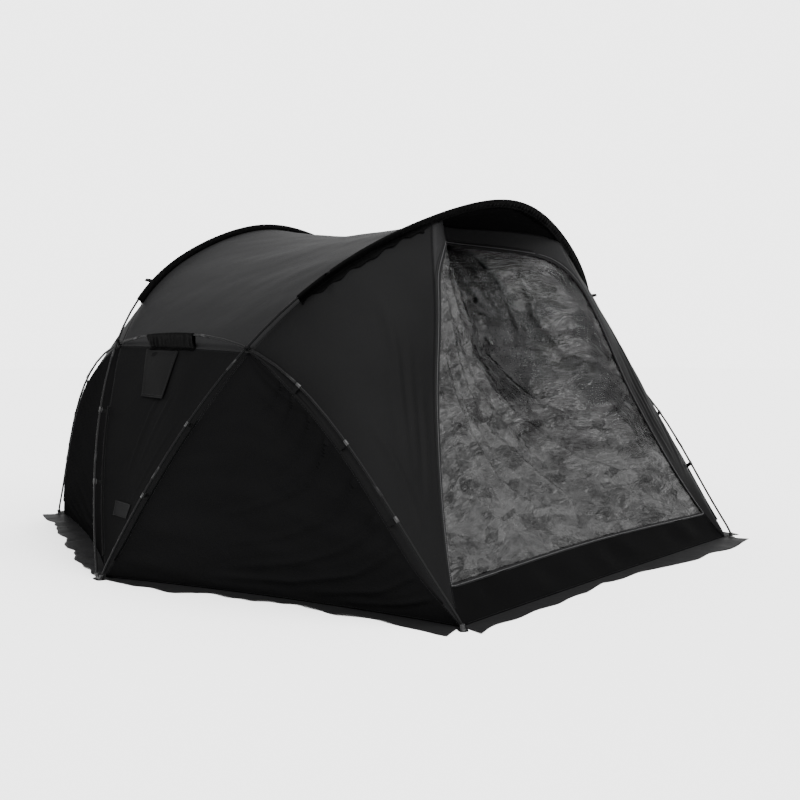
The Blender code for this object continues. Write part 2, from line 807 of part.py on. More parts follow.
def add_pole(name, rail):
    stations = rail.between(0.0, math.pi)
    places = [station[1] for station in stations]
    places[0] = pole_tip(places[0], places[1])
    places[-1] = pole_tip(places[-1], places[-2])
    turns = steps(0.0, 2 * math.pi, POLE_SIDES)[:-1]
    rings = []
    for place, (_, _, _, inwards, across) in zip(places, stations):
        rings.append([circle_point(place, inwards, across, POLE_RADIUS, a) for a in turns])
    loft(name, "pole", rings)


def add_sleeve(name, rail, start, end):
    """A fabric tube round a pole, with a fin that reaches down to the seam."""
    root = math.asin(SLEEVE_FIN / SLEEVE_OUTER)
    turns = steps(root, 2 * math.pi - root, SLEEVE_SIDES)
    inner_turns = turns + [-root / 3, root / 3]
    bm = bmesh.new()
    outers, inners = [], []
    for _, place, on_seam, inwards, across in rail.between(start, end):
        tip = on_seam + (place - on_seam).normalized() * FIN_STAND_OFF
        outer = [circle_point(place, inwards, across, SLEEVE_OUTER, a) for a in turns]
        outer += [tip - across * FIN_TIP, tip + across * FIN_TIP]
        outers.append([bm.verts.new(p) for p in outer])
        inner = [circle_point(place, inwards, across, SLEEVE_INNER, a) for a in inner_turns]
        inners.append([bm.verts.new(p) for p in inner])
    count = len(outers[0])
    for i in range(count):
        j = (i + 1) % count
        for k in range(len(outers) - 1):
            bm.faces.new((outers[k][i], outers[k][j], outers[k + 1][j], outers[k + 1][i]))
            bm.faces.new((inners[k][j], inners[k][i], inners[k + 1][i], inners[k + 1][j]))
        for k in (0, -1):
            bm.faces.new((outers[k][i], outers[k][j], inners[k][j], inners[k][i]))
    add_object(name, bm, "webbing")


def add_clips(name, rail, start, end, edges):
    """A webbing tape along a leg's seam, with straps whose hooks grip the pole."""
    stations = rail.between(start, end)
    half = TAPE / 2
    hook_turns = steps(0.0, HOOK_END, HOOK_STEPS)[1:]
    upper, lower, faces = [], [], []
    for _, place, on_seam, inwards, across in stations:
        way = (place - on_seam).normalized()
        middle = [on_seam + way * FIN_STAND_OFF, on_seam + way * TAPE_WIDTH, place + inwards * HOOK_RADIUS]
        offsets = [across * FIN_TIP, across * half, (across + inwards) * half]
        for angle in hook_turns:
            radial = circle_point(Vector(), inwards, across, 1.0, angle)
            middle.append(place + radial * HOOK_RADIUS)
            offsets.append(radial * half)
        upper += [p + o for p, o in zip(middle, offsets)]
        lower += [p - o for p, o in zip(middle, offsets)]
    columns = 3 + len(hook_turns)
    for i in range(len(stations) - 1):
        centre = (stations[i][0] + stations[i + 1][0]) / 2
        on_clip = any(low < centre < high for low, high in edges)
        for j in range(columns - 1 if on_clip else 1):
            k = i * columns + j
            faces.append([k, k + 1, k + columns + 1, k + columns])
    plate(name, "webbing", faces, upper, lower, list(range(len(upper))))


def build_frame(seams):
    """The poles with their sleeves, and a tape on each leg that ends at its highest clip."""
    lowest = leg_angles(MAIN_CROSSING)[1]
    for end in (FRONT, REAR):
        rail, edges = main_rail(seams, end)
        name = f"{END_NAMES[end]}_arch"
        highest = edges[len(MAIN_CLIPS) - 1][1]
        add_pole(f"{name}_pole", rail)
        add_sleeve(f"{name}_sleeve", rail, MAIN_SLEEVE_START, math.pi - MAIN_SLEEVE_START)
        add_clips(f"{name}_left_clips", rail, lowest, highest, edges)
        add_clips(f"{name}_right_clips", rail, math.pi - highest, math.pi - lowest, edges)
    front_lowest = leg_angles(SIDE_CROSSING_FRONT)[1]
    rear_lowest = math.pi - leg_angles(math.pi - SIDE_CROSSING_REAR)[1]
    for side in (LEFT, RIGHT):
        rail, edges = side_rail(seams, side)
        name = f"{SIDE_NAMES[side]}_side"
        add_pole(f"{name}_pole", rail)
        add_sleeve(f"{name}_sleeve", rail, *SIDE_SLEEVE)
        add_clips(f"{name}_front_clips", rail, front_lowest, edges[len(SIDE_CLIPS) - 1][1], edges)
        add_clips(f"{name}_rear_clips", rail, edges[len(SIDE_CLIPS)][0], rear_lowest, edges)
        for end, (start, after) in ((FRONT, rail.stations[:2]), (REAR, rail.stations[:-3:-1])):
            run = after[1] - start[1]
            lean = Vector((run.x / run.z, run.y / run.z, 0))
            add_foot(f"{END_NAMES[end]}_{SIDE_NAMES[side]}_foot", start[1], lean, CORNER_FOOT_HALF_WIDTH)


# The feet

FOOT_PLATE = 0.003
FOOT_POINTS = 24
FOOT_LENGTH = 0.100
FOOT_INWARD_SHIFT = 0.025
FOOT_SQUARENESS = 0.5
CORNER_FOOT_HALF_WIDTH = 0.024
MID_FOOT_HALF_WIDTH = 0.045
CUP_INNER = 0.0088
CUP_OUTER = 0.0118
CUP_HEIGHT = 0.030


def squared(value):
    return math.copysign(abs(value) ** FOOT_SQUARENESS, value) if abs(value) > 1e-9 else 0.0


def side_of(angle):
    """1 on one half of a ring, -1 on the other, and 0 where they meet."""
    sine = round(math.sin(angle), 6)
    return (sine > 0) - (sine < 0)


def foot_ring(centre, inwards, across, run, side, z):
    """A level ring round a foot. The run and the side are its reach inwards and across at each angle."""
    ring = []
    for a in steps(0.0, 2 * math.pi, FOOT_POINTS)[:-1]:
        ring.append(Vector((centre.x, centre.y, z)) + inwards * run(a) + across * side(a))
    return ring


def add_foot(name, foot, lean, half_width, spreads=(0.0, 0.0)):
    """A webbing plate with a cup for the pole ends. The lean is how far the cup moves for each unit of height."""
    inwards = Vector((-foot.x, -foot.y, 0)).normalized()
    across = Vector((-inwards.y, inwards.x, 0))
    rings = []
    for z in (0.0, FOOT_PLATE):
        rings.append(foot_ring(
            foot, inwards, across,
            lambda a: FOOT_INWARD_SHIFT + FOOT_LENGTH / 2 * squared(math.cos(a)),
            lambda a: half_width * squared(math.sin(a)),
            z,
        ))
    cups = ((CUP_OUTER, 0), (CUP_OUTER, 1), (CUP_INNER, 1), (CUP_INNER, 0))
    for radius, high in cups:
        z = CUP_HEIGHT if high else FOOT_PLATE
        spread = spreads[high]
        rings.append(foot_ring(
            foot + lean * z, inwards, across,
            lambda a: radius * math.cos(a),
            lambda a: radius * math.sin(a) + spread * side_of(a),
            z,
        ))
    loft(name, "webbing", rings)


def add_middle_feet():
    """Each middle foot has one long cup, which fans out with the ends of both main poles."""
    runs = [main_arch(end, leg_angles(MAIN_CROSSING)[1]) - main_arch(end, 0.0) for end in (FRONT, REAR)]
    front, rear = [Vector((run.x / run.z, run.y / run.z, 0)) for run in runs]
    lean = (front + rear) / 2
    fan = [MID_FEET_APART / 2 + z * (rear.y - front.y) / 2 for z in (FOOT_PLATE, CUP_HEIGHT)]
    for side in (LEFT, RIGHT):
        foot = Vector((side * MID_FOOT_X, MID_FOOT_Y, 0))
        side_lean = Vector((-side * lean.x, lean.y, 0))
        add_foot(f"{SIDE_NAMES[side]}_middle_foot", foot, side_lean, MID_FOOT_HALF_WIDTH, fan)


# The skirts on the ground

SKIRT_TUCK = 0.008
SKIRT_END_GAP = 0.075
SKIRT_WIDENING = 6.0


def add_skirt(name, base):
    """A flat flap that lies outside a wall's lower edge, and ends short of the feet."""
    length = sum((b - a).length for a, b in zip(base, base[1:]))
    margin = SKIRT_END_GAP / length
    run = (base[-1] - base[0]).normalized()
    out = Vector((run.y, -run.x, 0))
    if out.dot(base[0] + base[-1]) < 0:
        out = -out
    inner, outer = [], []
    for s in steps(margin, 1 - margin, WALL_STEPS):
        ground = along(base, s)
        ground.z = 0
        share = min(1.0, SKIRT_WIDENING * min(s - margin, 1 - margin - s))
        inner.append(ground - out * SKIRT_TUCK)
        outer.append(ground + out * (SKIRT_END_WIDTH + (SKIRT_WIDTH - SKIRT_END_WIDTH) * share))
    low = inner + outer
    count = len(inner)
    faces = [[i, i + 1, count + i + 1, count + i] for i in range(count - 1)]
    high = [p + Vector((0, 0, FABRIC)) for p in low]
    plate(name, "shell_fabric", faces, high, low, list(range(len(low))))


def add_skirts(seams):
    for end in (FRONT, REAR):
        add_skirt(f"{END_NAMES[end]}_skirt", seams.end_base[end])
        for side in (LEFT, RIGHT):
            base = seams.side_base[end] if side == LEFT else mirrored(seams.side_base[end])
            add_skirt(f"{SIDE_NAMES[side]}_{END_NAMES[end]}_skirt", base)


clear_scene()
SEAMS = Seams()
build_shell(SEAMS)
add_overlays(SEAMS)
build_frame(SEAMS)
add_middle_feet()
add_skirts(SEAMS)
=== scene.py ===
"""Spherical dome tent, dressed for the photograph's view. Metres, front towards -Y, Z up."""

import math

import bmesh
import bpy
import numpy as np
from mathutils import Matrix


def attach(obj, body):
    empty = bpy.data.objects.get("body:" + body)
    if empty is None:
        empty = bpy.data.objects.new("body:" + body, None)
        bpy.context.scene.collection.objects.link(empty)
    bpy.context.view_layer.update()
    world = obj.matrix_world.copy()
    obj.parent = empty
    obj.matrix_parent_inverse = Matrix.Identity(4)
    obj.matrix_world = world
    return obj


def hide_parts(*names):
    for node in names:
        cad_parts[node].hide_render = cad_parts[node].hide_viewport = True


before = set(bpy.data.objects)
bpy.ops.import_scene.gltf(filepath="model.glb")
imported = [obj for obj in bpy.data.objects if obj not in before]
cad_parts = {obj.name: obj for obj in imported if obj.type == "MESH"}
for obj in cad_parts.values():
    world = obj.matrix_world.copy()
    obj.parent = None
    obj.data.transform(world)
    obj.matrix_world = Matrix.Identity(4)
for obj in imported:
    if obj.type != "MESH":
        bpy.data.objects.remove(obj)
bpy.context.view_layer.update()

# The studio
# A pale floor under a pale surround, with one broad soft light from the front and above, and the camera where
# the photographer stood: low, off the front left corner. The surround looks brighter than it shines, so that
# dark cloth keeps its shapes.

CAMERA_PLACE = (-4.264, -4.4476, 1.219)
CAMERA_TURN = 0.7959
CAMERA_DROP = 0.0546
FOCAL_PIXELS = 879.2
IMAGE_PIXELS = 800
SENSOR = 36.0
LIGHT_FROM = (-0.10, -0.50, 1.0)
LIGHT_STRENGTH = 9.0
LIGHT_ANGLE = math.radians(80)
SURROUND_SEEN = 3.9
SURROUND_SHINE = 1.5
FLOOR_TINT = 0.93
FLOOR_HALF = 60.0
WHITE = (1.0, 1.0, 1.0, 1.0)


def add_object(name, data):
    made = bpy.data.objects.new(name, data)
    bpy.context.scene.collection.objects.link(made)
    return made


def link(tree, source, output, target, socket):
    tree.links.new(source.outputs[output], target.inputs[socket])


def add_node(tree, kind, inputs=None, **settings):
    """A new node. Each input gets a value, or is fed by a pair of a node and the name of its output."""
    node = tree.nodes.new(kind)
    for name, value in settings.items():
        setattr(node, name, value)
    for socket, value in (inputs or {}).items():
        if isinstance(value, tuple) and isinstance(value[0], bpy.types.Node):
            link(tree, *value, node, socket)
        else:
            node.inputs[socket].default_value = value
    return node


camera_data = bpy.data.cameras.new("Camera")
camera_data.sensor_width = SENSOR
camera_data.lens = SENSOR * FOCAL_PIXELS / IMAGE_PIXELS
camera = add_object("Camera", camera_data)
camera.location = CAMERA_PLACE
camera.rotation_euler = (math.pi / 2 - CAMERA_DROP, 0, -CAMERA_TURN)
bpy.context.scene.camera = camera

sky_light = bpy.data.lights.new("SkyLight", "SUN")
sky_light.energy = LIGHT_STRENGTH
sky_light.angle = LIGHT_ANGLE
sky_lamp = add_object("SkyLight", sky_light)
level_reach = math.hypot(LIGHT_FROM[0], LIGHT_FROM[1])
sky_lamp.rotation_euler = (
    math.atan2(level_reach, LIGHT_FROM[2]),
    0,
    math.atan2(-LIGHT_FROM[0], LIGHT_FROM[1]) + math.pi,
)

world = bpy.data.worlds.new("Surround")
world.use_nodes = True
surround = world.node_tree
shine = surround.nodes["Background"]
shine.inputs["Color"].default_value = WHITE
shine.inputs["Strength"].default_value = SURROUND_SHINE
seen = add_node(surround, "ShaderNodeBackground", {"Color": WHITE, "Strength": SURROUND_SEEN})
ray = surround.nodes.new("ShaderNodeLightPath")
either = add_node(surround, "ShaderNodeMixShader", {
    "Fac": (ray, "Is Camera Ray"), 1: (shine, "Background"), 2: (seen, "Background")})
link(surround, either, "Shader", surround.nodes["World Output"], "Surface")
bpy.context.scene.world = world

floor_mesh = bpy.data.meshes.new("StudioFloor")
floor_corners = [(x * FLOOR_HALF, y * FLOOR_HALF, 0.0) for x, y in ((-1, -1), (1, -1), (1, 1), (-1, 1))]
floor_mesh.from_pydata(floor_corners, [], [(0, 1, 2, 3)])
floor = add_object("StudioFloor", floor_mesh)
floor_paint = bpy.data.materials.new("StudioPaint")
floor_paint.use_nodes = True
floor_shader = floor_paint.node_tree.nodes["Principled BSDF"]
floor_shader.inputs["Base Color"].default_value = (FLOOR_TINT, FLOOR_TINT, FLOOR_TINT, 1)
floor_shader.inputs["Roughness"].default_value = 1.0
floor_shader.inputs["Specular IOR Level"].default_value = 0.0
floor_mesh.materials.append(floor_paint)

# The bent poles
# Fibreglass rods 13 mm thick, joined end to end by ferrules. Two long ones stand in feet at the middle of the
# sides and lean to the front and the rear. A shorter one on each side crosses them both.

FRONT, REAR = -1, 1
LEFT, RIGHT = -1, 1
END_NAMES = {FRONT: "front", REAR: "rear"}
SIDE_NAMES = {LEFT: "left", RIGHT: "right"}
MID_FOOT_X = 2.061
MID_FOOT_Y = -0.028
MID_FEET_APART = 0.030
CORNER_FOOT_X = 1.361
CORNER_FOOT_Y = 1.992
MAIN_RISE = 2.423
SIDE_RISE = 1.341
LEAN = {FRONT: math.radians(29.5), REAR: math.radians(25.3)}
SIDE_LEAN = math.radians(10.2)
MAIN_WIDTH_WAVES = (0.0146, -0.0567)
MAIN_RISE_WAVES = (-0.106, -0.060, -0.019)
SIDE_LENGTH_WAVE = -0.026
SIDE_RISE_WAVES = (-0.176, -0.045, 0.0126)
POLE_RADIUS = 0.0065
FERRULE_RADIUS = 0.0072
FERRULE_LENGTH = 0.075
POLE_SECTION = 0.640
POLE_TIP_HEIGHT = 0.0078
POLE_SIDES = 16


def rise(total, waves, t):
    """How far a bent pole stands out from the line between its feet, at the angle t."""
    third, fifth, seventh = waves
    height = (1 + third - fifth + seventh) * np.sin(t)
    for number, wave in ((3, third), (5, fifth), (7, seventh)):
        height = height + wave * np.sin(number * t)
    return total * height


def main_arch(end, t):
    t = np.asarray(t, float)
    third, fifth = MAIN_WIDTH_WAVES
    across = (MID_FOOT_X - third - fifth) * np.cos(t) + third * np.cos(3 * t) + fifth * np.cos(5 * t)
    up = rise(MAIN_RISE, MAIN_RISE_WAVES, t)
    foot_y = MID_FOOT_Y + end * MID_FEET_APART / 2
    return np.stack([-across, foot_y + end * up * math.sin(LEAN[end]), up * math.cos(LEAN[end])], -1)


def side_arch(side, t):
    t = np.asarray(t, float)
    along = (1 - SIDE_LENGTH_WAVE) * np.cos(t) + SIDE_LENGTH_WAVE * np.cos(3 * t)
    up = rise(SIDE_RISE, SIDE_RISE_WAVES, t)
    out = side * (CORNER_FOOT_X + up * math.sin(SIDE_LEAN))
    return np.stack([out, -CORNER_FOOT_Y * along, up * math.cos(SIDE_LEAN)], -1)


def tree_with(name, inputs, result):
    """A Geometry Nodes tree with named inputs and one geometry output."""
    tree = bpy.data.node_groups.new(name, "GeometryNodeTree")
    tree.interface.new_socket("Path", in_out="INPUT", socket_type="NodeSocketGeometry")
    for socket_name, kind, value in inputs:
        socket = tree.interface.new_socket(socket_name, in_out="INPUT", socket_type=kind)
        if value is not None:
            socket.default_value = value
    tree.interface.new_socket(result, in_out="OUTPUT", socket_type="NodeSocketGeometry")
    return tree, tree.nodes.new("NodeGroupInput"), tree.nodes.new("NodeGroupOutput")


def placed_along(tree, given, curve, spacing, item, skip_ends):
    """Puts copies of an item at even steps along a curve, turned to run along it, and makes them real."""
    spaced = add_node(tree, "GeometryNodeResampleCurve", {
        "Curve": (curve, "Curve"), "Length": (given, spacing)}, mode="LENGTH")
    tangent = tree.nodes.new("GeometryNodeInputTangent")
    turn = add_node(tree, "FunctionNodeAlignRotationToVector", {"Vector": (tangent, "Tangent")}, axis="Z")
    placed = add_node(tree, "GeometryNodeInstanceOnPoints", {
        "Points": (spaced, "Curve"), "Instance": (item, "Mesh"), "Rotation": (turn, "Rotation")})
    if skip_ends:
        ends = tree.nodes.new("GeometryNodeCurveEndpointSelection")
        between = add_node(tree, "FunctionNodeBooleanMath", {"Boolean": (ends, "Selection")}, operation="NOT")
        link(tree, between, "Boolean", placed, "Selection")
    return add_node(tree, "GeometryNodeRealizeInstances", {"Geometry": (placed, "Instances")})


def painted(tree, given, source, output, material):
    return add_node(tree, "GeometryNodeSetMaterial", {
        "Geometry": (source, output), "Material": (given, material)})


def rod_tree():
    """Makes a round rod along a path, with short sleeves at even steps where its sections join."""
    tree, given, result = tree_with("RodWithSleeves", (
        ("Radius", "NodeSocketFloat", 0.006),
        ("Sides", "NodeSocketInt", 16),
        ("Sleeve Radius", "NodeSocketFloat", 0.007),
        ("Sleeve Length", "NodeSocketFloat", 0.07),
        ("Sleeve Spacing", "NodeSocketFloat", 0.6),
        ("Material", "NodeSocketMaterial", None),
        ("Sleeve Material", "NodeSocketMaterial", None),
    ), "Rod")
    curve = add_node(tree, "GeometryNodeMeshToCurve", {"Mesh": (given, "Path")})
    profile = add_node(tree, "GeometryNodeCurvePrimitiveCircle", {
        "Resolution": (given, "Sides"), "Radius": (given, "Radius")})
    rod = add_node(tree, "GeometryNodeCurveToMesh", {
        "Fill Caps": True, "Curve": (curve, "Curve"), "Profile Curve": (profile, "Curve")})
    sleeve = add_node(tree, "GeometryNodeMeshCylinder", {
        "Vertices": POLE_SIDES, "Radius": (given, "Sleeve Radius"), "Depth": (given, "Sleeve Length")})
    sleeves = placed_along(tree, given, curve, "Sleeve Spacing", sleeve, True)
    both = tree.nodes.new("GeometryNodeJoinGeometry")
    link(tree, painted(tree, given, rod, "Mesh", "Material"), "Geometry", both, "Geometry")
    link(tree, painted(tree, given, sleeves, "Geometry", "Sleeve Material"), "Geometry", both, "Geometry")
    smooth = add_node(tree, "GeometryNodeSetShadeSmooth", {"Geometry": (both, "Geometry")})
    link(tree, smooth, "Geometry", result, "Rod")
    return tree


def set_inputs(modifier, values):
    """Sets a modifier's inputs by their names in its tree."""
    for item in modifier.node_group.interface.items_tree:
        if item.item_type == "SOCKET" and item.in_out == "INPUT" and item.name in values:
            modifier[item.identifier] = values[item.name]


def grown(name, tree, values, source):
    """Runs a tree on a mesh and keeps the result as a plain mesh."""
    seed = add_object(name + "_seed", source)
    modifier = seed.modifiers.new("Grow", "NODES")
    modifier.node_group = tree
    set_inputs(modifier, values)
    graph = bpy.context.evaluated_depsgraph_get()
    mesh = bpy.data.meshes.new_from_object(seed.evaluated_get(graph))
    bpy.data.objects.remove(seed, do_unlink=True)
    bpy.data.meshes.remove(source)
    mesh.name = name
    return add_object(name, mesh)


def path_mesh(lines):
    """Lines of points as the edges of one mesh."""
    mesh = bpy.data.meshes.new("path")
    points, edges = [], []
    for line in lines:
        start = len(points)
        points += [tuple(float(x) for x in p) for p in line]
        edges += [(i, i + 1) for i in range(start, len(points) - 1)]
    mesh.from_pydata(points, edges, [])
    return mesh


def fixed(piece, *nodes, slot=None):
    """The tent has no joints, so every piece rides on its one body."""
    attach(piece, "root")
    if nodes:
        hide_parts(*nodes)
    return piece


def finish_of(name, colour, roughness, specular):
    material = bpy.data.materials.new(name)
    material.use_nodes = True
    shader = material.node_tree.nodes["Principled BSDF"]
    shader.inputs["Base Color"].default_value = (*colour, 1.0)
    shader.inputs["Roughness"].default_value = roughness
    shader.inputs["Specular IOR Level"].default_value = specular
    material.diffuse_color = (*colour, 1.0)
    return material, material.node_tree, shader


def group_with(name, inputs, outputs):
    """A shader group. An input without a value is a vector, and all the rest are numbers."""
    tree = bpy.data.node_groups.new(name, "ShaderNodeTree")
    for socket_name, value in inputs:
        kind = "NodeSocketVector" if value is None else "NodeSocketFloat"
        socket = tree.interface.new_socket(socket_name, in_out="INPUT", socket_type=kind)
        if value is not None:
            socket.default_value = value
    for socket_name in outputs:
        tree.interface.new_socket(socket_name, in_out="OUTPUT", socket_type="NodeSocketFloat")
    return tree, tree.nodes.new("NodeGroupInput"), tree.nodes.new("NodeGroupOutput")


def grain_group():
    """Fine scratches and mottling for hard, dark parts."""
    inputs = (("Scale", 60.0), ("Low", 0.3), ("High", 0.5))
    tree, given, result = group_with("HardGrain", inputs, ("Roughness", "Height"))
    place = tree.nodes.new("ShaderNodeTexCoord")
    noise = add_node(tree, "ShaderNodeTexNoise", {
        "Detail": 5.0, "Vector": (place, "Object"), "Scale": (given, "Scale")})
    spread = add_node(tree, "ShaderNodeMapRange", {
        "Value": (noise, "Fac"), "To Min": (given, "Low"), "To Max": (given, "High")})
    link(tree, spread, "Result", result, "Roughness")
    link(tree, noise, "Fac", result, "Height")
    return tree


def raised(tree, shader, source, strength, distance):
    """Makes a group's height the relief of a material."""
    bump = add_node(tree, "ShaderNodeBump", {
        "Strength": strength, "Distance": distance, "Height": (source, "Height")})
    link(tree, bump, "Normal", shader, "Normal")


HARD_GRAIN = grain_group()
GRAIN_DEPTH = 0.001
GRAIN_RELIEF = 0.05


def hard_finish(name, colour, roughness, specular, scale):
    material, tree, shader = finish_of(name, colour, roughness[0], specular)
    grain = add_node(tree, "ShaderNodeGroup", node_tree=HARD_GRAIN)
    for socket, value in (("Scale", scale), ("Low", roughness[0]), ("High", roughness[1])):
        grain.inputs[socket].default_value = value
    link(tree, grain, "Roughness", shader, "Roughness")
    raised(tree, shader, grain, GRAIN_RELIEF, GRAIN_DEPTH)
    return material


FIBREGLASS = hard_finish("DarkFibreglass", (0.0025, 0.0025, 0.0026), (0.28, 0.42), 0.05, 90.0)
FERRULE_FINISH = hard_finish("DulledFerrule", (0.004, 0.004, 0.0042), (0.35, 0.50), 0.10, 120.0)
ROD = rod_tree()


def pole_line(arch, count):
    """Points along a pole, crowded towards its ends, whose tips stand a little above the foot plates."""
    shares = np.linspace(0, 1, count)
    line = arch(math.pi * (0.5 - 0.5 * np.cos(math.pi * shares)) * 0.98 + 0.01 * math.pi)
    first, last = arch(0.0), arch(math.pi)
    run_first, run_last = line[0] - first, line[-1] - last
    tip_first = first + run_first * (POLE_TIP_HEIGHT / run_first[2])
    tip_last = last + run_last * (POLE_TIP_HEIGHT / run_last[2])
    return np.vstack([[tip_first], line, [tip_last]])


def add_pole(name, arch, count):
    values = {
        "Radius": POLE_RADIUS,
        "Sides": POLE_SIDES,
        "Sleeve Radius": FERRULE_RADIUS,
        "Sleeve Length": FERRULE_LENGTH,
        "Sleeve Spacing": POLE_SECTION,
        "Material": FIBREGLASS,
        "Sleeve Material": FERRULE_FINISH,
    }
    return grown(name, ROD, values, path_mesh([pole_line(arch, count)]))


for end in (FRONT, REAR):
    pole = add_pole(f"{END_NAMES[end]}_long_pole", lambda t, e=end: main_arch(e, t), 90)
    fixed(pole, f"{END_NAMES[end]}_arch_pole", slot="pole")
for side in (LEFT, RIGHT):
    pole = add_pole(f"{SIDE_NAMES[side]}_short_pole", lambda t, s=side: side_arch(s, t), 70)
    fixed(pole, f"{SIDE_NAMES[side]}_side_pole", slot="pole")

# The seams of the shell
# The panels are sewn together along seams that hang 3 to 5 cm inside the poles. Every panel below is laid
# between these lines, so neighbours share an edge.

MAIN_CROSSING = 0.733
SIDE_CROSSING = {FRONT: 1.2226, REAR: 1.8449}
WALL_CORNER = 1.227
LEG_INSET = 0.050
ROOF_INSET = 0.035
FOOT_INSET = 0.040
CROSSING_INSET = 0.028
SIDE_SEAM_OUT = 0.025
SEAM_REACH = 0.25
EDGE_REACH = 0.32
SIDE_TOP_KEEP = 0.10
LEG_CROWDING = 0.62
WALL_SEAM_SAG = 0.082
WALL_SEAM_SKEW = 0.655
WALL_SEAM_SWELL = 0.022
WALL_BASE_BOW = 0.010
SIDE_BASE_BOW = 0.055
WALL_TOP_DROP = 0.0056
BRIM_DEPTH = 0.235
BRIM_FULLNESS = 1.6
ROOF_SAG = 0.107
CORNER_HOLLOW = 0.02
TRIANGLE_HOLLOW = 0.03
MIDDLE_HOLLOW = 0.02
SHELL_BASE = 0.0034
SMALL_ANGLE = 1e-4
OTHER_SIDE = np.array([-1, 1, 1])
LEVEL = np.array([1, 1, 0])


def unit(v):
    return v / np.maximum(np.linalg.norm(v, axis=-1, keepdims=True), 1e-12)


def mix(a, b, s):
    return a + (b - a) * np.asarray(s)[..., None]


def eased(share):
    """A share from 0 to 1 that starts and ends gently."""
    share = np.clip(share, 0, 1)
    return share * share * (3 - 2 * share)


def inwards_of(arch, t):
    """The way square to an arch in its own plane, towards its inside."""
    run = unit(arch(t + SMALL_ANGLE) - arch(t - SMALL_ANGLE))
    way = (arch(0.0) + arch(math.pi)) / 2 - arch(t)
    return unit(way - run * (way * run).sum(-1, keepdims=True))


def inside(arch, t, inset):
    t = np.asarray(t, float)
    return arch(t) + inwards_of(arch, t) * inset


def seam_foot(x, y):
    foot = np.array([x, y, 0.0])
    moved = foot - unit(foot) * FOOT_INSET
    return np.array([moved[0], moved[1], SHELL_BASE])


def main(end):
    return lambda t: main_arch(end, t)


def beside(t):
    return side_arch(LEFT, t)


def leg_seam(arch, angle_at, start, end, out=0.0):
    """A seam beside a pole's leg, drawn in to its start and its end. It may stand out sideways between."""
    from_start = start - inside(arch, angle_at(0.0), LEG_INSET)
    from_end = end - inside(arch, angle_at(1.0), LEG_INSET)
    sideways = np.array([math.copysign(out, start[0]), 0, 0])

    def at(s):
        s = np.asarray(s, float)
        place = inside(arch, angle_at(s), LEG_INSET)
        place = place + sideways * np.minimum(1, np.minimum(s, 1 - s) / SEAM_REACH)[..., None]
        place = place + from_start * (1 - eased(s / SEAM_REACH))[..., None]
        return place + from_end * (1 - eased((1 - s) / SEAM_REACH))[..., None]

    return at


def base_line(start, end, depth):
    middle = (start + end) / 2 * LEVEL
    run = unit(end - start)
    inwards = unit(-middle + run * middle.dot(run))

    def at(s):
        swing = depth * np.sin(math.pi * np.clip(s, 0, 1)) ** 0.8
        return mix(start, end, s) + inwards * np.asarray(swing)[..., None]

    return at


def crossing_of(end):
    """Half way between the two poles where they cross, a little inwards of both."""
    t = SIDE_CROSSING[end]
    middle = (main_arch(end, MAIN_CROSSING) + beside(t)) / 2
    way = inwards_of(main(end), np.array(MAIN_CROSSING)) + inwards_of(beside, np.array(t))
    return middle + unit(way) * CROSSING_INSET


MID_SEAM_FOOT = seam_foot(-MID_FOOT_X, MID_FOOT_Y)
CORNER_SEAM_FOOT = {e: seam_foot(-CORNER_FOOT_X, e * CORNER_FOOT_Y) for e in (FRONT, REAR)}
CROSSING = {e: crossing_of(e) for e in (FRONT, REAR)}


def main_leg_angle(s):
    return MAIN_CROSSING * np.asarray(s, float) ** LEG_CROWDING


def side_leg_angle(end):
    if end == FRONT:
        return lambda s: SIDE_CROSSING[FRONT] * np.asarray(s, float) ** LEG_CROWDING
    return lambda s: math.pi - (math.pi - SIDE_CROSSING[REAR]) * np.asarray(s, float) ** LEG_CROWDING


MAIN_LEG = {e: leg_seam(main(e), main_leg_angle, MID_SEAM_FOOT, CROSSING[e]) for e in (FRONT, REAR)}
SIDE_LEG = {e: leg_seam(beside, side_leg_angle(e), CORNER_SEAM_FOOT[e], CROSSING[e], SIDE_SEAM_OUT)
            for e in (FRONT, REAR)}


def side_top(s):
    """The seam between the roof and a middle wall, which keeps a share of the side pole's bow."""
    s = np.asarray(s, float)
    first, last = beside(SIDE_CROSSING[FRONT]), beside(SIDE_CROSSING[REAR])
    pole = beside(SIDE_CROSSING[FRONT] + (SIDE_CROSSING[REAR] - SIDE_CROSSING[FRONT]) * s)
    return mix(CROSSING[FRONT], CROSSING[REAR], s) + (pole - mix(first, last, s)) * SIDE_TOP_KEEP


def mirrored_where(past_middle, place):
    return place * np.where(past_middle[..., None], OTHER_SIDE, 1)


def roof_edge(end):
    """The roof's edge under a long pole, from the left crossing to the right one."""
    drawn = CROSSING[end] - inside(main(end), MAIN_CROSSING, ROOF_INSET)

    def at(s):
        s = np.asarray(s, float)
        near = np.minimum(s, 1 - s)
        t = np.interp(near, [0, 0.25, 0.5], [MAIN_CROSSING, WALL_CORNER, math.pi / 2])
        place = inside(main(end), t, ROOF_INSET)
        place = place + drawn * (1 - eased(near / 0.25 / EDGE_REACH))[..., None]
        return mirrored_where(s > 0.5, place)

    return at


def corner_arc(end):
    edge = roof_edge(end)
    return lambda s: edge(0.25 * np.asarray(s, float))


def flipped(line):
    return lambda s: line(s) * OTHER_SIDE


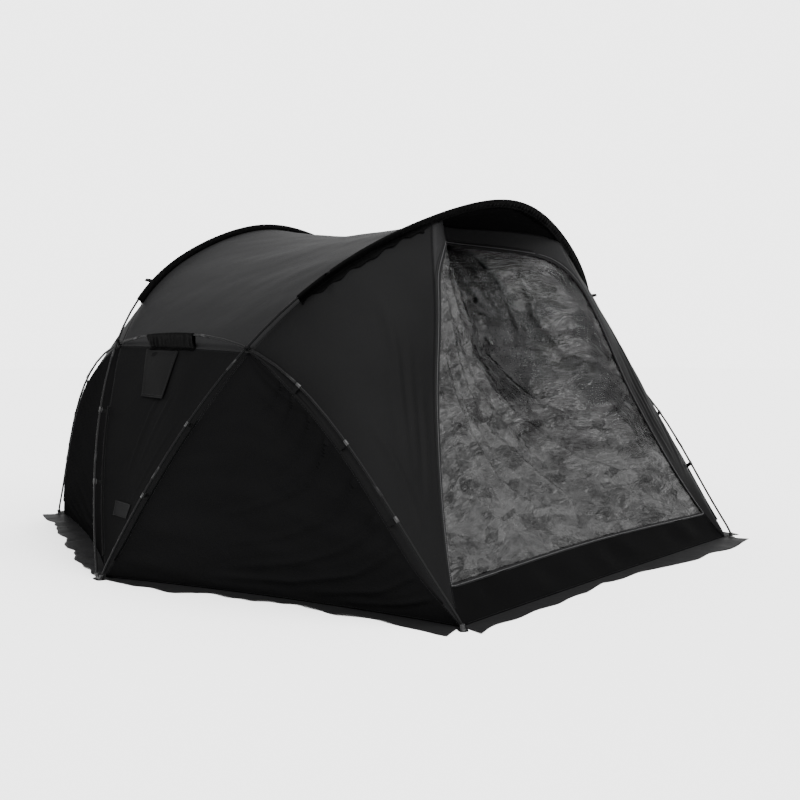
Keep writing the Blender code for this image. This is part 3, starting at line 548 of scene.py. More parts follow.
def patch(bottom, top, left, right, sag=0.0, way=(0, 0, 0)):
    """A smooth panel between four edges. Its middle may hollow some way by its sag."""
    corners = [bottom(0.0), bottom(1.0), top(0.0), top(1.0)]
    way = np.array(way, float) * sag

    def at(u, v):
        u, v = np.asarray(u, float), np.asarray(v, float)
        ruled = mix(bottom(u), top(u), v) + mix(left(v), right(v), u)
        flat = mix(mix(corners[0], corners[1], u), mix(corners[2], corners[3], u), v)
        weight = 16 * u * (1 - u) * v * (1 - v)
        return ruled - flat + way * weight[..., None]

    return at


def point_line(point):
    return lambda s: point + 0 * np.asarray(s, float)[..., None]


ROOF = patch(roof_edge(FRONT), roof_edge(REAR), side_top, flipped(side_top), ROOF_SAG, (0, 0, -1))


def wall_top(end):
    """The upper edge of an end wall, sewn to the roof's underside some way behind the brim."""

    def at(s):
        s = np.asarray(s, float)
        depth = BRIM_DEPTH * np.sin(math.pi * np.clip(s, 0, 1)) ** BRIM_FULLNESS
        place = ROOF(0.25 + 0.5 * s, depth if end == FRONT else 1 - depth)
        return place - np.array([0, 0, WALL_TOP_DROP])

    return at


def wall_side(end):
    """The slanting edge of an end wall. It sags inwards, and the film's pull swells it again near its top."""
    corner = wall_top(end)(0.0)
    inwards = np.array([0, -end * 0.915, -0.403])

    def at(s):
        s = np.asarray(s, float)
        sag = WALL_SEAM_SAG * np.sin(math.pi * np.clip(s, 0, 1) ** WALL_SEAM_SKEW)
        sag = sag - WALL_SEAM_SWELL * np.sin(math.pi * np.clip(2 * s - 1, 0, 1)) ** 2
        return mix(CORNER_SEAM_FOOT[end], corner, s) + inwards * sag[..., None]

    return at


def side_base(end):
    return base_line(MID_SEAM_FOOT, CORNER_SEAM_FOOT[end], SIDE_BASE_BOW)


def end_base(end):
    return base_line(CORNER_SEAM_FOOT[end], CORNER_SEAM_FOOT[end] * OTHER_SIDE, WALL_BASE_BOW)


END_WALL = {e: patch(end_base(e), wall_top(e), wall_side(e), flipped(wall_side(e))) for e in (FRONT, REAR)}
CORNER_PANEL = {e: patch(point_line(CORNER_SEAM_FOOT[e]), corner_arc(e), SIDE_LEG[e], wall_side(e),
                         CORNER_HOLLOW, (0, -e, 0)) for e in (FRONT, REAR)}
TRIANGLE = {e: patch(side_base(e), point_line(CROSSING[e]), MAIN_LEG[e], SIDE_LEG[e],
                     TRIANGLE_HOLLOW, (1, 0, 0)) for e in (FRONT, REAR)}
MIDDLE = patch(point_line(MID_SEAM_FOOT), lambda s: side_top(1 - np.asarray(s)), MAIN_LEG[REAR],
               MAIN_LEG[FRONT], MIDDLE_HOLLOW, (1, 0, 0))

# The cloth panels
# Black coated polyester, cut to the panels above and sewn taut. The cloth wrinkles where clips and feet pull
# it, and hangs in soft waves where nothing does.

CLOTH = 0.0012
SEWN_TOGETHER = 2e-5
COLD_TINGE = 1.03
CREASE_DEPTH = 0.01


def cloth_group():
    """A close plain weave with small creases, for every woven piece, in the cloth's own metres."""
    inputs = (("Vector", None), ("Threads", 900.0), ("Crease Scale", 9.0), ("Crease Height", 1.0))
    tree, given, result = group_with("WovenCloth", inputs, ("Height", "Mottle"))
    warp, weft = (add_node(tree, "ShaderNodeTexWave", {
        "Distortion": 0.4, "Vector": (given, "Vector"), "Scale": (given, "Threads")},
        bands_direction=direction) for direction in ("X", "Y"))
    weave = add_node(tree, "ShaderNodeMath", {0: (warp, "Fac"), 1: (weft, "Fac")}, operation="MULTIPLY")
    fine = add_node(tree, "ShaderNodeMath", {0: (weave, "Value"), 1: 0.02}, operation="MULTIPLY")
    small = add_node(tree, "ShaderNodeTexNoise", {
        "Detail": 6.0, "Roughness": 0.55, "Distortion": 0.6,
        "Vector": (given, "Vector"), "Scale": (given, "Crease Scale")})
    total = add_node(tree, "ShaderNodeMath", {
        0: (small, "Fac"), 1: (given, "Crease Height"), 2: (fine, "Value")}, operation="MULTIPLY_ADD")
    link(tree, total, "Value", result, "Height")
    broad = add_node(tree, "ShaderNodeTexNoise", {"Scale": 1.7, "Detail": 3.0, "Vector": (given, "Vector")})
    link(tree, broad, "Fac", result, "Mottle")
    return tree


WOVEN = cloth_group()


def on_cloth(tree, group, inputs):
    """A shader group that reads the cloth's own coordinates."""
    place = add_node(tree, "ShaderNodeUVMap", uv_map="cloth")
    return add_node(tree, "ShaderNodeGroup", {"Vector": (place, "UV"), **inputs}, node_tree=group)


def cloth_finish(name, dark, light, roughness, specular, crease=1.0, relief=0.35, scale=9.0):
    low, high = ((grey, grey, grey * COLD_TINGE) for grey in (dark, light))
    material, tree, shader = finish_of(name, high, roughness, specular)
    weave = on_cloth(tree, WOVEN, {"Crease Height": crease, "Crease Scale": scale})
    tint = add_node(tree, "ShaderNodeMix", {
        "A": (*low, 1.0), "B": (*high, 1.0), "Factor": (weave, "Mottle")}, data_type="RGBA")
    link(tree, tint, "Result", shader, "Base Color")
    raised(tree, shader, weave, relief, CREASE_DEPTH)
    return material


SIDE_CLOTH = cloth_finish("BlackSideCloth", 0.0026, 0.0040, 0.46, 0.0, 1.2, 0.5)
CORNER_CLOTH = cloth_finish("BlackCornerCloth", 0.0024, 0.0036, 0.50, 0.022, 0.6)
MIDDLE_CLOTH = cloth_finish("BlackMiddleCloth", 0.0025, 0.0038, 0.52, 0.004, 0.8)
# The roof's copy of the cloth is over twice as light as the walls': partly the roof cloth's own slightly
# lighter grey, partly painted sky light from above.
ROOF_CLOTH_GREY_AND_SKY_LIT = cloth_finish("RoofClothGreyAndSkyLit", 0.0062, 0.0088, 0.46, 0.016, 0.5)
INNER_CLOTH = cloth_finish("BlackInnerCoating", 0.0020, 0.0030, 0.60, 0.0, 0.5)


def grid_normals(places):
    """Unit normals of a grid of places."""
    along = np.gradient(places, axis=1)
    up = np.gradient(places, axis=0)
    return unit(np.cross(along, up))


def outward_normals(places):
    normals = grid_normals(places)
    away = places - np.array([0, 0, 0.4])
    middle = tuple(n // 2 for n in places.shape[:2])
    return normals if normals[middle].dot(away[middle]) > 0 else -normals


def distance_to_path(places, path):
    """Each place's distance to a path, and its share along it."""
    best = np.full(places.shape[:-1], 1e9)
    share = np.zeros(places.shape[:-1])
    lengths = np.linalg.norm(np.diff(path, axis=0), axis=1)
    before = np.concatenate([[0], np.cumsum(lengths)])
    for i, length in enumerate(lengths):
        run = path[i + 1] - path[i]
        s = np.clip(((places - path[i]) @ run) / max(length ** 2, 1e-12), 0, 1)
        apart = np.linalg.norm(places - (path[i] + s[..., None] * run), axis=-1)
        nearer = apart < best
        best = np.where(nearer, apart, best)
        share = np.where(nearer, (before[i] + s * length) / before[-1], share)
    return best, share


def fold_height(places, path, width, height, open_start=False):
    """The height of one soft fold, which fades out at its ends, or at its far end alone."""
    apart, share = distance_to_path(places, path)
    ridge = np.exp(-((apart / width) ** 2)) - 0.35 * np.exp(-(((apart - 1.9 * width) / width) ** 2))
    fade = (1 - share) ** 0.8 if open_start else np.sin(math.pi * share) ** 0.7
    return height * ridge * fade


def soft_waves(a, b, seed, count, shortest, longest, height, slant=None, spread=0.6):
    """Irregular shallow waves over a panel, from a few seeded plane waves in the cloth's own coordinates."""
    rng = np.random.default_rng(seed)
    total = np.zeros_like(a)
    for _ in range(count):
        length = rng.uniform(shortest, longest)
        turn = rng.uniform(0, math.pi) if slant is None else slant + rng.normal(0, spread)
        phase = rng.uniform(0, 2 * math.pi)
        size = height * (length / longest) / math.sqrt(count)
        total += size * np.sin(2 * math.pi / length * (a * math.cos(turn) + b * math.sin(turn)) + phase)
    return total


def cloth_coordinates(places):
    """A panel's own flat coordinates in metres, measured along its rows and columns."""
    across = np.linalg.norm(np.diff(places, axis=1), axis=2)
    up = np.linalg.norm(np.diff(places, axis=0), axis=2)
    a = np.concatenate([np.zeros((places.shape[0], 1)), np.cumsum(across, axis=1)], axis=1)
    a -= a[:, -1:] / 2
    b = np.concatenate([np.zeros((1, places.shape[1])), np.cumsum(up, axis=0)], axis=0)
    return a, b


def edge_calm(u, v, across=0.05, up=0.05):
    """1 inside a panel, falling to 0 at its sewn edges."""
    return eased(np.minimum(u, 1 - u) / across) * eased(np.minimum(v, 1 - v) / up)


def area_of(places):
    a = places[:-1, :-1]
    b, c, d = places[:-1, 1:], places[1:, 1:], places[1:, :-1]
    first = np.linalg.norm(np.cross(b - a, c - a), axis=2).sum()
    return float(first + np.linalg.norm(np.cross(c - a, d - a), axis=2).sum()) / 2


def flat_size(places):
    """A panel's cut: the width and length of the rectangle it comes from, and its own area."""
    across = np.linalg.norm(np.diff(places, axis=1), axis=2).sum(axis=1).max()
    up = np.linalg.norm(np.diff(places, axis=0), axis=2).sum(axis=0).max()
    return float(across), float(up), min(area_of(places), float(across * up))


def piece_of(bm, name, materials):
    mesh = bpy.data.meshes.new(name)
    bm.to_mesh(mesh)
    bm.free()
    for material in materials:
        mesh.materials.append(material)
    return add_object(name, mesh)


def mesh_of_grids(name, grids, materials, thickness=CLOTH, facing=None, lining=0):
    """One piece from one or more grids of (places, a, b, material number). Edges that touch are joined."""
    bm = bmesh.new()
    uv_layer = bm.loops.layers.uv.new("cloth")
    for places, a, b, number in grids:
        rows, columns = places.shape[:2]
        middle = (rows // 2, columns // 2)
        away = outward_normals(places)[middle] if facing is None else facing
        straight = grid_normals(places)[middle].dot(away) > 0
        verts = [[bm.verts.new(places[j, i]) for i in range(columns)] for j in range(rows)]
        for j in range(rows - 1):
            for i in range(columns - 1):
                ring = [(j, i), (j, i + 1), (j + 1, i + 1), (j + 1, i)]
                if not straight:
                    ring.reverse()
                face = bm.faces.new([verts[y][x] for y, x in ring])
                face.smooth = True
                face.material_index = number
                for loop, (y, x) in zip(face.loops, ring):
                    loop[uv_layer].uv = (a[y, x], b[y, x])
    bmesh.ops.remove_doubles(bm, verts=bm.verts, dist=SEWN_TOGETHER)
    piece = piece_of(bm, name, materials)
    if thickness:
        wall = piece.modifiers.new("Thickness", "SOLIDIFY")
        wall.thickness = thickness
        wall.offset = -1
        wall.use_even_offset = False
        wall.material_offset = lining
    return piece


def panel_grid(surface, columns, rows):
    u, v = np.meshgrid(np.linspace(0, 1, columns + 1), np.linspace(0, 1, rows + 1))
    return u, v, surface(u, v)


def path_on(surface, points, count=10):
    """A path on a panel from a few (u, v) stops, as places."""
    stops = np.array(points, float)
    s = np.linspace(0, 1, count)
    knots = np.linspace(0, 1, len(stops))
    return surface(np.interp(s, knots, stops[:, 0]), np.interp(s, knots, stops[:, 1]))


def on_side(places, side):
    """Places made for the left side, mirrored if they are wanted on the right."""
    return places * OTHER_SIDE if side == RIGHT else places


def sewn_panel(name, node, surface, cells, folds, waves, material, side=LEFT, slot="shell_fabric",
               calm=(0.05, 0.05)):
    """Lays a panel and presses its folds and waves into it."""
    u, v, places = panel_grid(surface, *cells)
    a, b = cloth_coordinates(places)
    normals = outward_normals(places)
    height = np.zeros_like(u)
    for stops, width, tall, open_start in folds:
        height += fold_height(places, path_on(surface, stops), width, tall, open_start)
    for wave in waves:
        height += soft_waves(a, b, *wave)
    places = places + normals * (height * edge_calm(u, v, *calm))[..., None]
    places = on_side(places, side)
    piece = mesh_of_grids(name, [(places, a, b, 0)], [material, INNER_CLOTH], lining=1)
    fixed(piece, node, slot=slot)


# The roof: one wide panel hung as a saddle between the long poles, which runs on past the end walls as a
# brim. It is drawn so tight that it only ripples a little along its edges.

ROOF_WAVES = [(11, 6, 0.5, 1.3, 0.006, None), (12, 6, 0.16, 0.30, 0.0012, None)]
ROOF_FOLDS = [
    (((0.03, 0.02), (0.10, 0.20)), 0.020, 0.004, True),
    (((0.97, 0.02), (0.90, 0.20)), 0.020, 0.004, True),
    (((0.03, 0.98), (0.10, 0.80)), 0.020, 0.004, True),
    (((0.97, 0.98), (0.90, 0.80)), 0.020, 0.004, True),
]
sewn_panel("roof_cloth", "roof_panel", ROOF, (120, 84), ROOF_FOLDS, ROOF_WAVES, ROOF_CLOTH_GREY_AND_SKY_LIT,
           slot="roof_fabric", calm=(0.06, 0.03))

# The corner panels: tall triangles between the end walls and the long poles. Folds fan up from the foot.

CORNER_FOLDS = [
    (((0.62, 0.86), (0.66, 0.66), (0.62, 0.48), (0.54, 0.36)), 0.024, 0.008, False),
    (((0.76, 0.70), (0.74, 0.52), (0.66, 0.36)), 0.020, 0.008, False),
    (((0.86, 0.56), (0.84, 0.42), (0.76, 0.28)), 0.016, 0.006, False),
    (((0.30, 0.55), (0.42, 0.40), (0.50, 0.25)), 0.018, 0.005, False),
]
CORNER_WAVES = [(21, 5, 0.25, 0.6, 0.004, 0.5, 0.5)]

# The side triangles: each clip on the short pole pulls creases across the cloth to the middle foot.

TRIANGLE_FOLDS = [
    (((0.95, 0.80), (0.72, 0.74), (0.45, 0.70)), 0.013, 0.018, True),
    (((0.95, 0.74), (0.72, 0.64), (0.46, 0.56)), 0.013, 0.018, True),
    (((0.96, 0.66), (0.74, 0.55), (0.50, 0.47)), 0.014, 0.019, True),
    (((0.96, 0.58), (0.74, 0.46), (0.48, 0.38), (0.30, 0.34)), 0.015, 0.022, True),
    (((0.97, 0.46), (0.78, 0.36), (0.55, 0.28), (0.35, 0.24)), 0.015, 0.019, True),
    (((0.97, 0.36), (0.80, 0.27), (0.58, 0.19), (0.36, 0.14)), 0.016, 0.022, True),
    (((0.97, 0.28), (0.78, 0.18), (0.56, 0.11), (0.30, 0.08)), 0.015, 0.021, True),
    (((0.97, 0.20), (0.82, 0.12), (0.62, 0.07)), 0.013, 0.016, True),
    (((0.98, 0.13), (0.85, 0.07), (0.70, 0.04)), 0.011, 0.013, True),
]
TRIANGLE_WAVES = {
    FRONT: [(31, 6, 0.10, 0.32, 0.005, 1.25, 0.25)],
    REAR: [(31, 5, 0.2, 0.5, 0.003, 1.25, 0.25)],
}

# The middle walls: upside-down triangles between the long poles, with creases that run down from the flap.

MIDDLE_FOLDS = [
    (((0.48, 0.74), (0.44, 0.56), (0.40, 0.42)), 0.014, 0.007, True),
    (((0.62, 0.76), (0.58, 0.60), (0.55, 0.48)), 0.014, 0.006, True),
    (((0.80, 0.70), (0.72, 0.50), (0.62, 0.34)), 0.010, 0.003, False),
]
MIDDLE_WAVES = [(41, 5, 0.2, 0.5, 0.003, 0.2, 0.3)]


def reseeded(waves, step):
    return [(wave[0] + step, *wave[1:]) for wave in waves]


for side in (LEFT, RIGHT):
    side_name = SIDE_NAMES[side]
    for end in (FRONT, REAR):
        step = 3 * (side + 1) + 7 * (end + 1)
        end_name = END_NAMES[end]
        sewn_panel(f"{end_name}_{side_name}_corner_cloth", f"{end_name}_{side_name}_panel",
                   CORNER_PANEL[end], (44, 96), CORNER_FOLDS, reseeded(CORNER_WAVES, step),
                   CORNER_CLOTH, side)
        sewn_panel(f"{side_name}_{end_name}_triangle_cloth", f"{side_name}_{end_name}_wall",
                   TRIANGLE[end], (110, 90), TRIANGLE_FOLDS, reseeded(TRIANGLE_WAVES[end], step),
                   SIDE_CLOTH, side)
    sewn_panel(f"{side_name}_middle_cloth", f"{side_name}_middle_wall", MIDDLE, (60, 80), MIDDLE_FOLDS,
               reseeded(MIDDLE_WAVES, side + 1), MIDDLE_CLOTH, side)

# The end walls and their windows
# Each end wall slopes back and is nearly all window: one sheet of smoke-tinted film, zipped in along its
# whole edge. The film has lain folded in its bag, so it is creased all over and hangs in long slanting folds.

WINDOW_MARGINS = (0.012, 0.044)
WINDOW_SILL = 0.089
WINDOW_SHOULDER = 0.815
WINDOW_TOP = 0.937
WINDOW_CORNER = 0.15
WINDOW_CROWN = 0.012
# Cells across each margin and across the film, then up the sill, the straight sides and the wall's top.
WINDOW_CELLS = (6, 150, 12, 96, 10)
FILM = 0.0006
FILM_RECESS = 0.004
# Facets of several sizes: the scale of each and its weight, for the film's height and for its painted
# reflection, a tone per facet.
FACET_LAYERS = {
    "Height": ((4.0, 0.8), (11.0, 0.55), (26.0, 0.30), (60.0, 0.12)),
    "FacetPaintedReflection": ((6.0, 0.50), (17.0, 0.30), (42.0, 0.20)),
}
# The end wall is the shell's black cloth. Its sill gets a darker copy as painted shade, and the rest of the
# wall around the window gets a lighter copy as painted light from above.
SILL_CLOTH_PAINTED_SHADE = cloth_finish("SillClothPaintedShade", 0.0012, 0.0020, 0.52, 0.006, 0.8)
WALL_CLOTH_PAINTED_LIGHT = cloth_finish("WallClothPaintedLight", 0.0060, 0.0090, 0.50, 0.03, 0.8)


def window_margin(surface, v):
    low, high = WINDOW_MARGINS
    width = np.linalg.norm(surface(1.0, v) - surface(0.0, v), axis=-1)
    return (low + (high - low) * v) / width


def window_grid(surface, margin_cells, film_cells, sill_cells, side_cells, top_cells):
    """Shares across and up the wall for a grid whose inner block fills the window's rounded outline."""
    low = np.linspace(0, WINDOW_SILL, sill_cells + 1)[:-1]
    turn = np.linspace(0, math.pi / 2, side_cells // 4 + 1)
    straight = np.linspace(WINDOW_SILL, WINDOW_SHOULDER, side_cells + 1)[:-1]
    reach = WINDOW_TOP - WINDOW_CROWN - WINDOW_SHOULDER
    bend = WINDOW_SHOULDER + reach * np.sin(turn)
    high = np.linspace(bend[-1], 1, top_cells + 1)[1:]
    v_rows = np.concatenate([low, straight, bend, high])
    left = window_margin(surface, v_rows)
    first_bend = len(low) + len(straight)
    left[first_bend:first_bend + len(bend)] += WINDOW_CORNER * (1 - np.cos(turn))
    left[first_bend + len(bend):] = left[first_bend + len(bend) - 1]
    u, v = [], []
    for share, edge in zip(v_rows, left):
        us = np.concatenate([
            np.linspace(0, edge, margin_cells + 1),
            np.linspace(edge, 1 - edge, film_cells + 1)[1:],
            np.linspace(1 - edge, 1, margin_cells + 1)[1:],
        ])
        inner = np.clip((us - edge) / (1 - 2 * edge), 0, 1)
        rise_share = np.clip((share - WINDOW_SHOULDER) / (bend[-1] - WINDOW_SHOULDER), 0, 1)
        fall_share = np.clip((1 - share) / (1 - bend[-1]), 0, 1)
        u.append(us)
        v.append(share + WINDOW_CROWN * np.sin(math.pi * inner) * min(rise_share, fall_share))
    film_rows = (len(low), first_bend + len(bend) - 1)
    film_columns = (margin_cells, margin_cells + film_cells)
    return np.array(u), np.array(v), film_rows, film_columns


def film_crinkle_group():
    """Crumpled film: flat facets of several sizes that meet in sharp creases, calm in some places, with a
    tone per facet painted in as reflection.
    """
    tree, given, result = group_with("CrumpledFilm", (("Vector", None),), ("Height", "Haze", "FacetPaintedReflection"))
    drift = add_node(tree, "ShaderNodeTexNoise", {"Scale": 3.0, "Detail": 3.0, "Vector": (given, "Vector")})
    push = add_node(tree, "ShaderNodeVectorMath", {
        0: (drift, "Color"), 1: (0.12, 0.12, 0.0), 2: (given, "Vector")}, operation="MULTIPLY_ADD")
    stretch = add_node(tree, "ShaderNodeMapping", {
        "Rotation": (0, 0, math.radians(52)), "Scale": (1.0, 2.4, 1.0), "Vector": (push, "Vector")})
    for socket, layers in FACET_LAYERS.items():
        total = 0.0
        for scale, weight in layers:
            cells = add_node(tree, "ShaderNodeTexVoronoi", {"Scale": scale, "Vector": (stretch, "Vector")})
            level = (cells, "Distance")
            if socket == "FacetPaintedReflection":
                level = (add_node(tree, "ShaderNodeSeparateColor", {"Color": (cells, "Color")}), "Red")
            part = add_node(tree, "ShaderNodeMath", {0: level, 1: weight, 2: total}, operation="MULTIPLY_ADD")
            total = (part, "Value")
        link(tree, *total, result, socket)
    cloud = add_node(tree, "ShaderNodeTexNoise", {
        "Scale": 2.6, "Detail": 4.0, "Distortion": 0.8, "Vector": (stretch, "Vector")})
    link(tree, cloud, "Fac", result, "Haze")
    return tree


CRUMPLED = film_crinkle_group()


def film_finish():
    """Smoked film: the hazier places scatter more light, and the clear ones show the dark inside. Its colour
    changes from facet to facet as a painted reflection.
    """
    material, tree, shader = finish_of("SmokedFilm", (0.0100, 0.0100, 0.0103), 0.18, 0.20)
    crumple = on_cloth(tree, CRUMPLED, {})
    raised(tree, shader, crumple, 0.9, 0.014)
    clear = add_node(tree, "ShaderNodeAttribute", attribute_name="clear")
    left_over = add_node(tree, "ShaderNodeMath", {0: (crumple, "Haze"), 1: (clear, "Fac")},
                         operation="SUBTRACT")
    # The base colour takes a painted reflection: a tone for each facet of the crumple.
    for socket, source, (least, most), (low, high) in (
        ("Base Color", (crumple, "FacetPaintedReflection"), (0.25, 0.75), (0.001, 0.024)),
        ("Roughness", (left_over, "Value"), (0.15, 0.55), (0.15, 0.28)),
        ("Alpha", (left_over, "Value"), (0.15, 0.55), (0.34, 0.98)),
    ):
        spread = add_node(tree, "ShaderNodeMapRange", {
            "Value": source, "From Min": least, "From Max": most, "To Min": low, "To Max": high})
        link(tree, spread, "Result", shader, socket)
    return material


SMOKED_FILM = film_finish()

# Long folds in the film, as stops in shares across and up the window, with a width and a height in metres.
FILM_FOLDS = [
    (((0.03, 0.93), (0.14, 0.72), (0.34, 0.46), (0.62, 0.22), (0.96, 0.12)), 0.040, 0.022),
    (((0.10, 0.97), (0.24, 0.74), (0.46, 0.50), (0.70, 0.30), (0.97, 0.22)), 0.034, 0.020),
    (((0.02, 0.80), (0.10, 0.58), (0.26, 0.34), (0.50, 0.12), (0.70, 0.05)), 0.036, 0.020),
    (((0.22, 0.60), (0.34, 0.50), (0.45, 0.35)), 0.020, -0.027),
    (((0.02, 0.60), (0.10, 0.40), (0.24, 0.20), (0.42, 0.06)), 0.030, 0.016),
    (((0.38, 0.97), (0.47, 0.82), (0.56, 0.70)), 0.026, 0.018),
    (((0.55, 0.96), (0.62, 0.80), (0.60, 0.62)), 0.024, 0.015),
    (((0.76, 0.86), (0.72, 0.70), (0.80, 0.52)), 0.020, 0.015),
    (((0.02, 0.40), (0.08, 0.24), (0.20, 0.08)), 0.024, 0.014),
    (((0.45, 0.44), (0.70, 0.38), (0.98, 0.42)), 0.018, 0.011),
]
FILM_BAG_CREASE = (((0.0, 0.375), (0.5, 0.385), (1.0, 0.375)), 0.009, 0.011)
FILM_CREASES = 90
FILM_CREASE_SEED = 51
FILM_WAVE_SEED = 61
FILM_RIPPLE_SEED = 64
FILM_CLEAR_SEED = 67
SILL_SEED = 71
# Where the film is clearest, so the dark inside shows: stops in window shares, with a width and a strength.
FILM_CLEAR = [
    (((0.28, 0.97), (0.50, 0.86), (0.58, 0.70), (0.48, 0.52)), 0.13, 0.40),
    (((0.10, 0.95), (0.22, 0.82), (0.36, 0.68)), 0.035, 0.35),
    (((0.31, 0.60), (0.46, 0.50), (0.53, 0.36)), 0.030, 0.40),
    (((0.97, 0.88), (0.92, 0.60), (0.95, 0.30)), 0.060, 0.40),
    (((0.80, 0.45), (0.97, 0.40)), 0.080, 0.22),
]


def random_creases(seed, count):
    """Short creases scattered over the film, mostly along its slanting folds."""
    rng = np.random.default_rng(seed)
    made = []
    for _ in range(count):
        start = rng.uniform((0.04, 0.06), (0.96, 0.94))
        turn = rng.normal(-0.95, 0.75)
        length = rng.uniform(0.05, 0.22)
        bend = rng.normal(0, 0.25)
        middle = start + length / 2 * np.array([math.cos(turn), math.sin(turn)])
        last = middle + length / 2 * np.array([math.cos(turn + bend), math.sin(turn + bend)])
        stops = tuple(tuple(np.clip(p, 0.02, 0.98)) for p in (start, middle, last))
        made.append((stops, rng.uniform(0.009, 0.018), rng.choice([-1, 1]) * rng.uniform(0.002, 0.005)))
    return made


def clearness(x, y, seed):
    """How clear the film is over the window, with ragged edges to its clear patches."""
    shares = np.stack([x, y, 0 * x], -1)
    ragged = shares + soft_waves(x, y, seed, 9, 0.06, 0.20, 0.04)[..., None] * np.array([1, -1, 0])
    total = 0.10 * eased((x - 0.35) / 0.5) * eased((y - 0.3) / 0.3)
    for stops, width, strength in FILM_CLEAR:
        path = np.array([(*stop, 0) for stop in stops])
        apart, _ = distance_to_path(ragged, path)
        total = np.maximum(total, strength * (1 - eased((apart / width - 0.6) / 0.7)))
    return total


def add_film(end, u, v):
    places = END_WALL[end](u, v)
    a, b = cloth_coordinates(places)
    normals = outward_normals(places)
    rows, columns = places.shape[:2]
    x, y = np.meshgrid(np.linspace(0, 1, columns), np.linspace(0, 1, rows))
    height = np.zeros_like(x)
    small_creases = random_creases(FILM_CREASE_SEED + end, FILM_CREASES)
    for stops, width, tall in [*FILM_FOLDS, FILM_BAG_CREASE, *small_creases]:
        knots = np.linspace(0, 1, len(stops))
        s = np.linspace(0, 1, 9)
        across = np.interp(s, knots, [p[0] for p in stops])
        up = np.interp(s, knots, [p[1] for p in stops])
        path = places[np.rint(up * (rows - 1)).astype(int), np.rint(across * (columns - 1)).astype(int)]
        height += fold_height(places, path, width, tall)
    height += soft_waves(a, b, FILM_WAVE_SEED + end, 7, 0.14, 0.5, 0.007, 0.6, 0.3)
    height += np.abs(soft_waves(a, b, FILM_RIPPLE_SEED + end, 10, 0.05, 0.14, 0.005, 0.55, 0.4))
    places = places + normals * (height * edge_calm(x, y, 0.03, 0.03) - FILM_RECESS)[..., None]
    piece = mesh_of_grids(f"{END_NAMES[end]}_window_film", [(places, a, b, 0)], [SMOKED_FILM], FILM)
    clear = piece.data.attributes.new("clear", "FLOAT", "POINT")
    clearest = clearness(x, y, FILM_CLEAR_SEED + end)
    clear.data.foreach_set("value", clearest.ravel().astype(np.float32))
    fixed(piece, f"{END_NAMES[end]}_window", slot="window_film")


def add_surround(end, u, v, film_rows, film_columns):
    places = END_WALL[end](u, v)
    a, b = cloth_coordinates(places)
    normals = outward_normals(places)
    sill = np.clip(1 - v / WINDOW_SILL, 0, 1)
    waves = soft_waves(a, b, SILL_SEED + end, 6, 0.18, 0.5, 0.014, 0.15, 0.3)
    height = waves * np.sin(math.pi * sill)
    places = places + normals * height[..., None]
    (r0, r1), (c0, c1) = film_rows, film_columns
    blocks = [
        (slice(0, r0 + 1), slice(None)),
        (slice(r0, r1 + 1), slice(0, c0 + 1)),
        (slice(r0, r1 + 1), slice(c1, None)),
        (slice(r1, None), slice(None)),
    ]
    grids = [(places[block], a[block], b[block], int(i > 0)) for i, block in enumerate(blocks)]
    piece = mesh_of_grids(f"{END_NAMES[end]}_wall_cloth", grids, [SILL_CLOTH_PAINTED_SHADE, WALL_CLOTH_PAINTED_LIGHT])
    fixed(piece, f"{END_NAMES[end]}_wall", slot="shell_fabric")


# The zip: a cloth tape sewn on round the film, with a row of coil teeth along its middle.

ZIP_TAPE = 0.036
ZIP_LIFT = 0.0016
ZIP_THICKNESS = 0.0008
ZIP_OVERLAP = 0.15
ZIP_MARGIN_SHARE = 0.86
ZIP_STITCH_SHARES = (0.1, 0.93)
TOOTH_LIFT = 0.001
TOOTH_SPACING = 0.0105
TOOTH_LENGTH = 0.0060
TOOTH_RADIUS = 0.0024
STITCH_SPACING = 0.012
STITCH_LENGTH = 0.0075
STITCH_RADIUS = 0.0007
DASH_SIDES = 6
ZIP_CLOTH = cloth_finish("ZipTapeCloth", 0.0030, 0.0048, 0.60, 0.05, 0.2, 0.2, 40.0)
ZIP_TEETH = hard_finish("ZipTeeth", (0.030, 0.030, 0.031), (0.30, 0.45), 0.30, 200.0)
THREAD = hard_finish("DarkThread", (0.010, 0.010, 0.0105), (0.55, 0.75), 0.10, 400.0)


def stitch_tree():
    """Short rounded dashes at even steps along a path, such as stitches or the teeth of a zip."""
    tree, given, result = tree_with("DashesAlongPath", (
        ("Spacing", "NodeSocketFloat", 0.01),
        ("Length", "NodeSocketFloat", 0.006),
        ("Radius", "NodeSocketFloat", 0.001),
        ("Material", "NodeSocketMaterial", None),
    ), "Dashes")
    curve = add_node(tree, "GeometryNodeMeshToCurve", {"Mesh": (given, "Path")})
    dash = add_node(tree, "GeometryNodeMeshCylinder", {
        "Vertices": DASH_SIDES, "Radius": (given, "Radius"), "Depth": (given, "Length")})
    dashes = placed_along(tree, given, curve, "Spacing", dash, False)
    paint = painted(tree, given, dashes, "Geometry", "Material")
    smooth = add_node(tree, "GeometryNodeSetShadeSmooth", {"Geometry": (paint, "Geometry")})
    link(tree, smooth, "Geometry", result, "Dashes")
    return tree


DASHES = stitch_tree()
stitch_lines = []


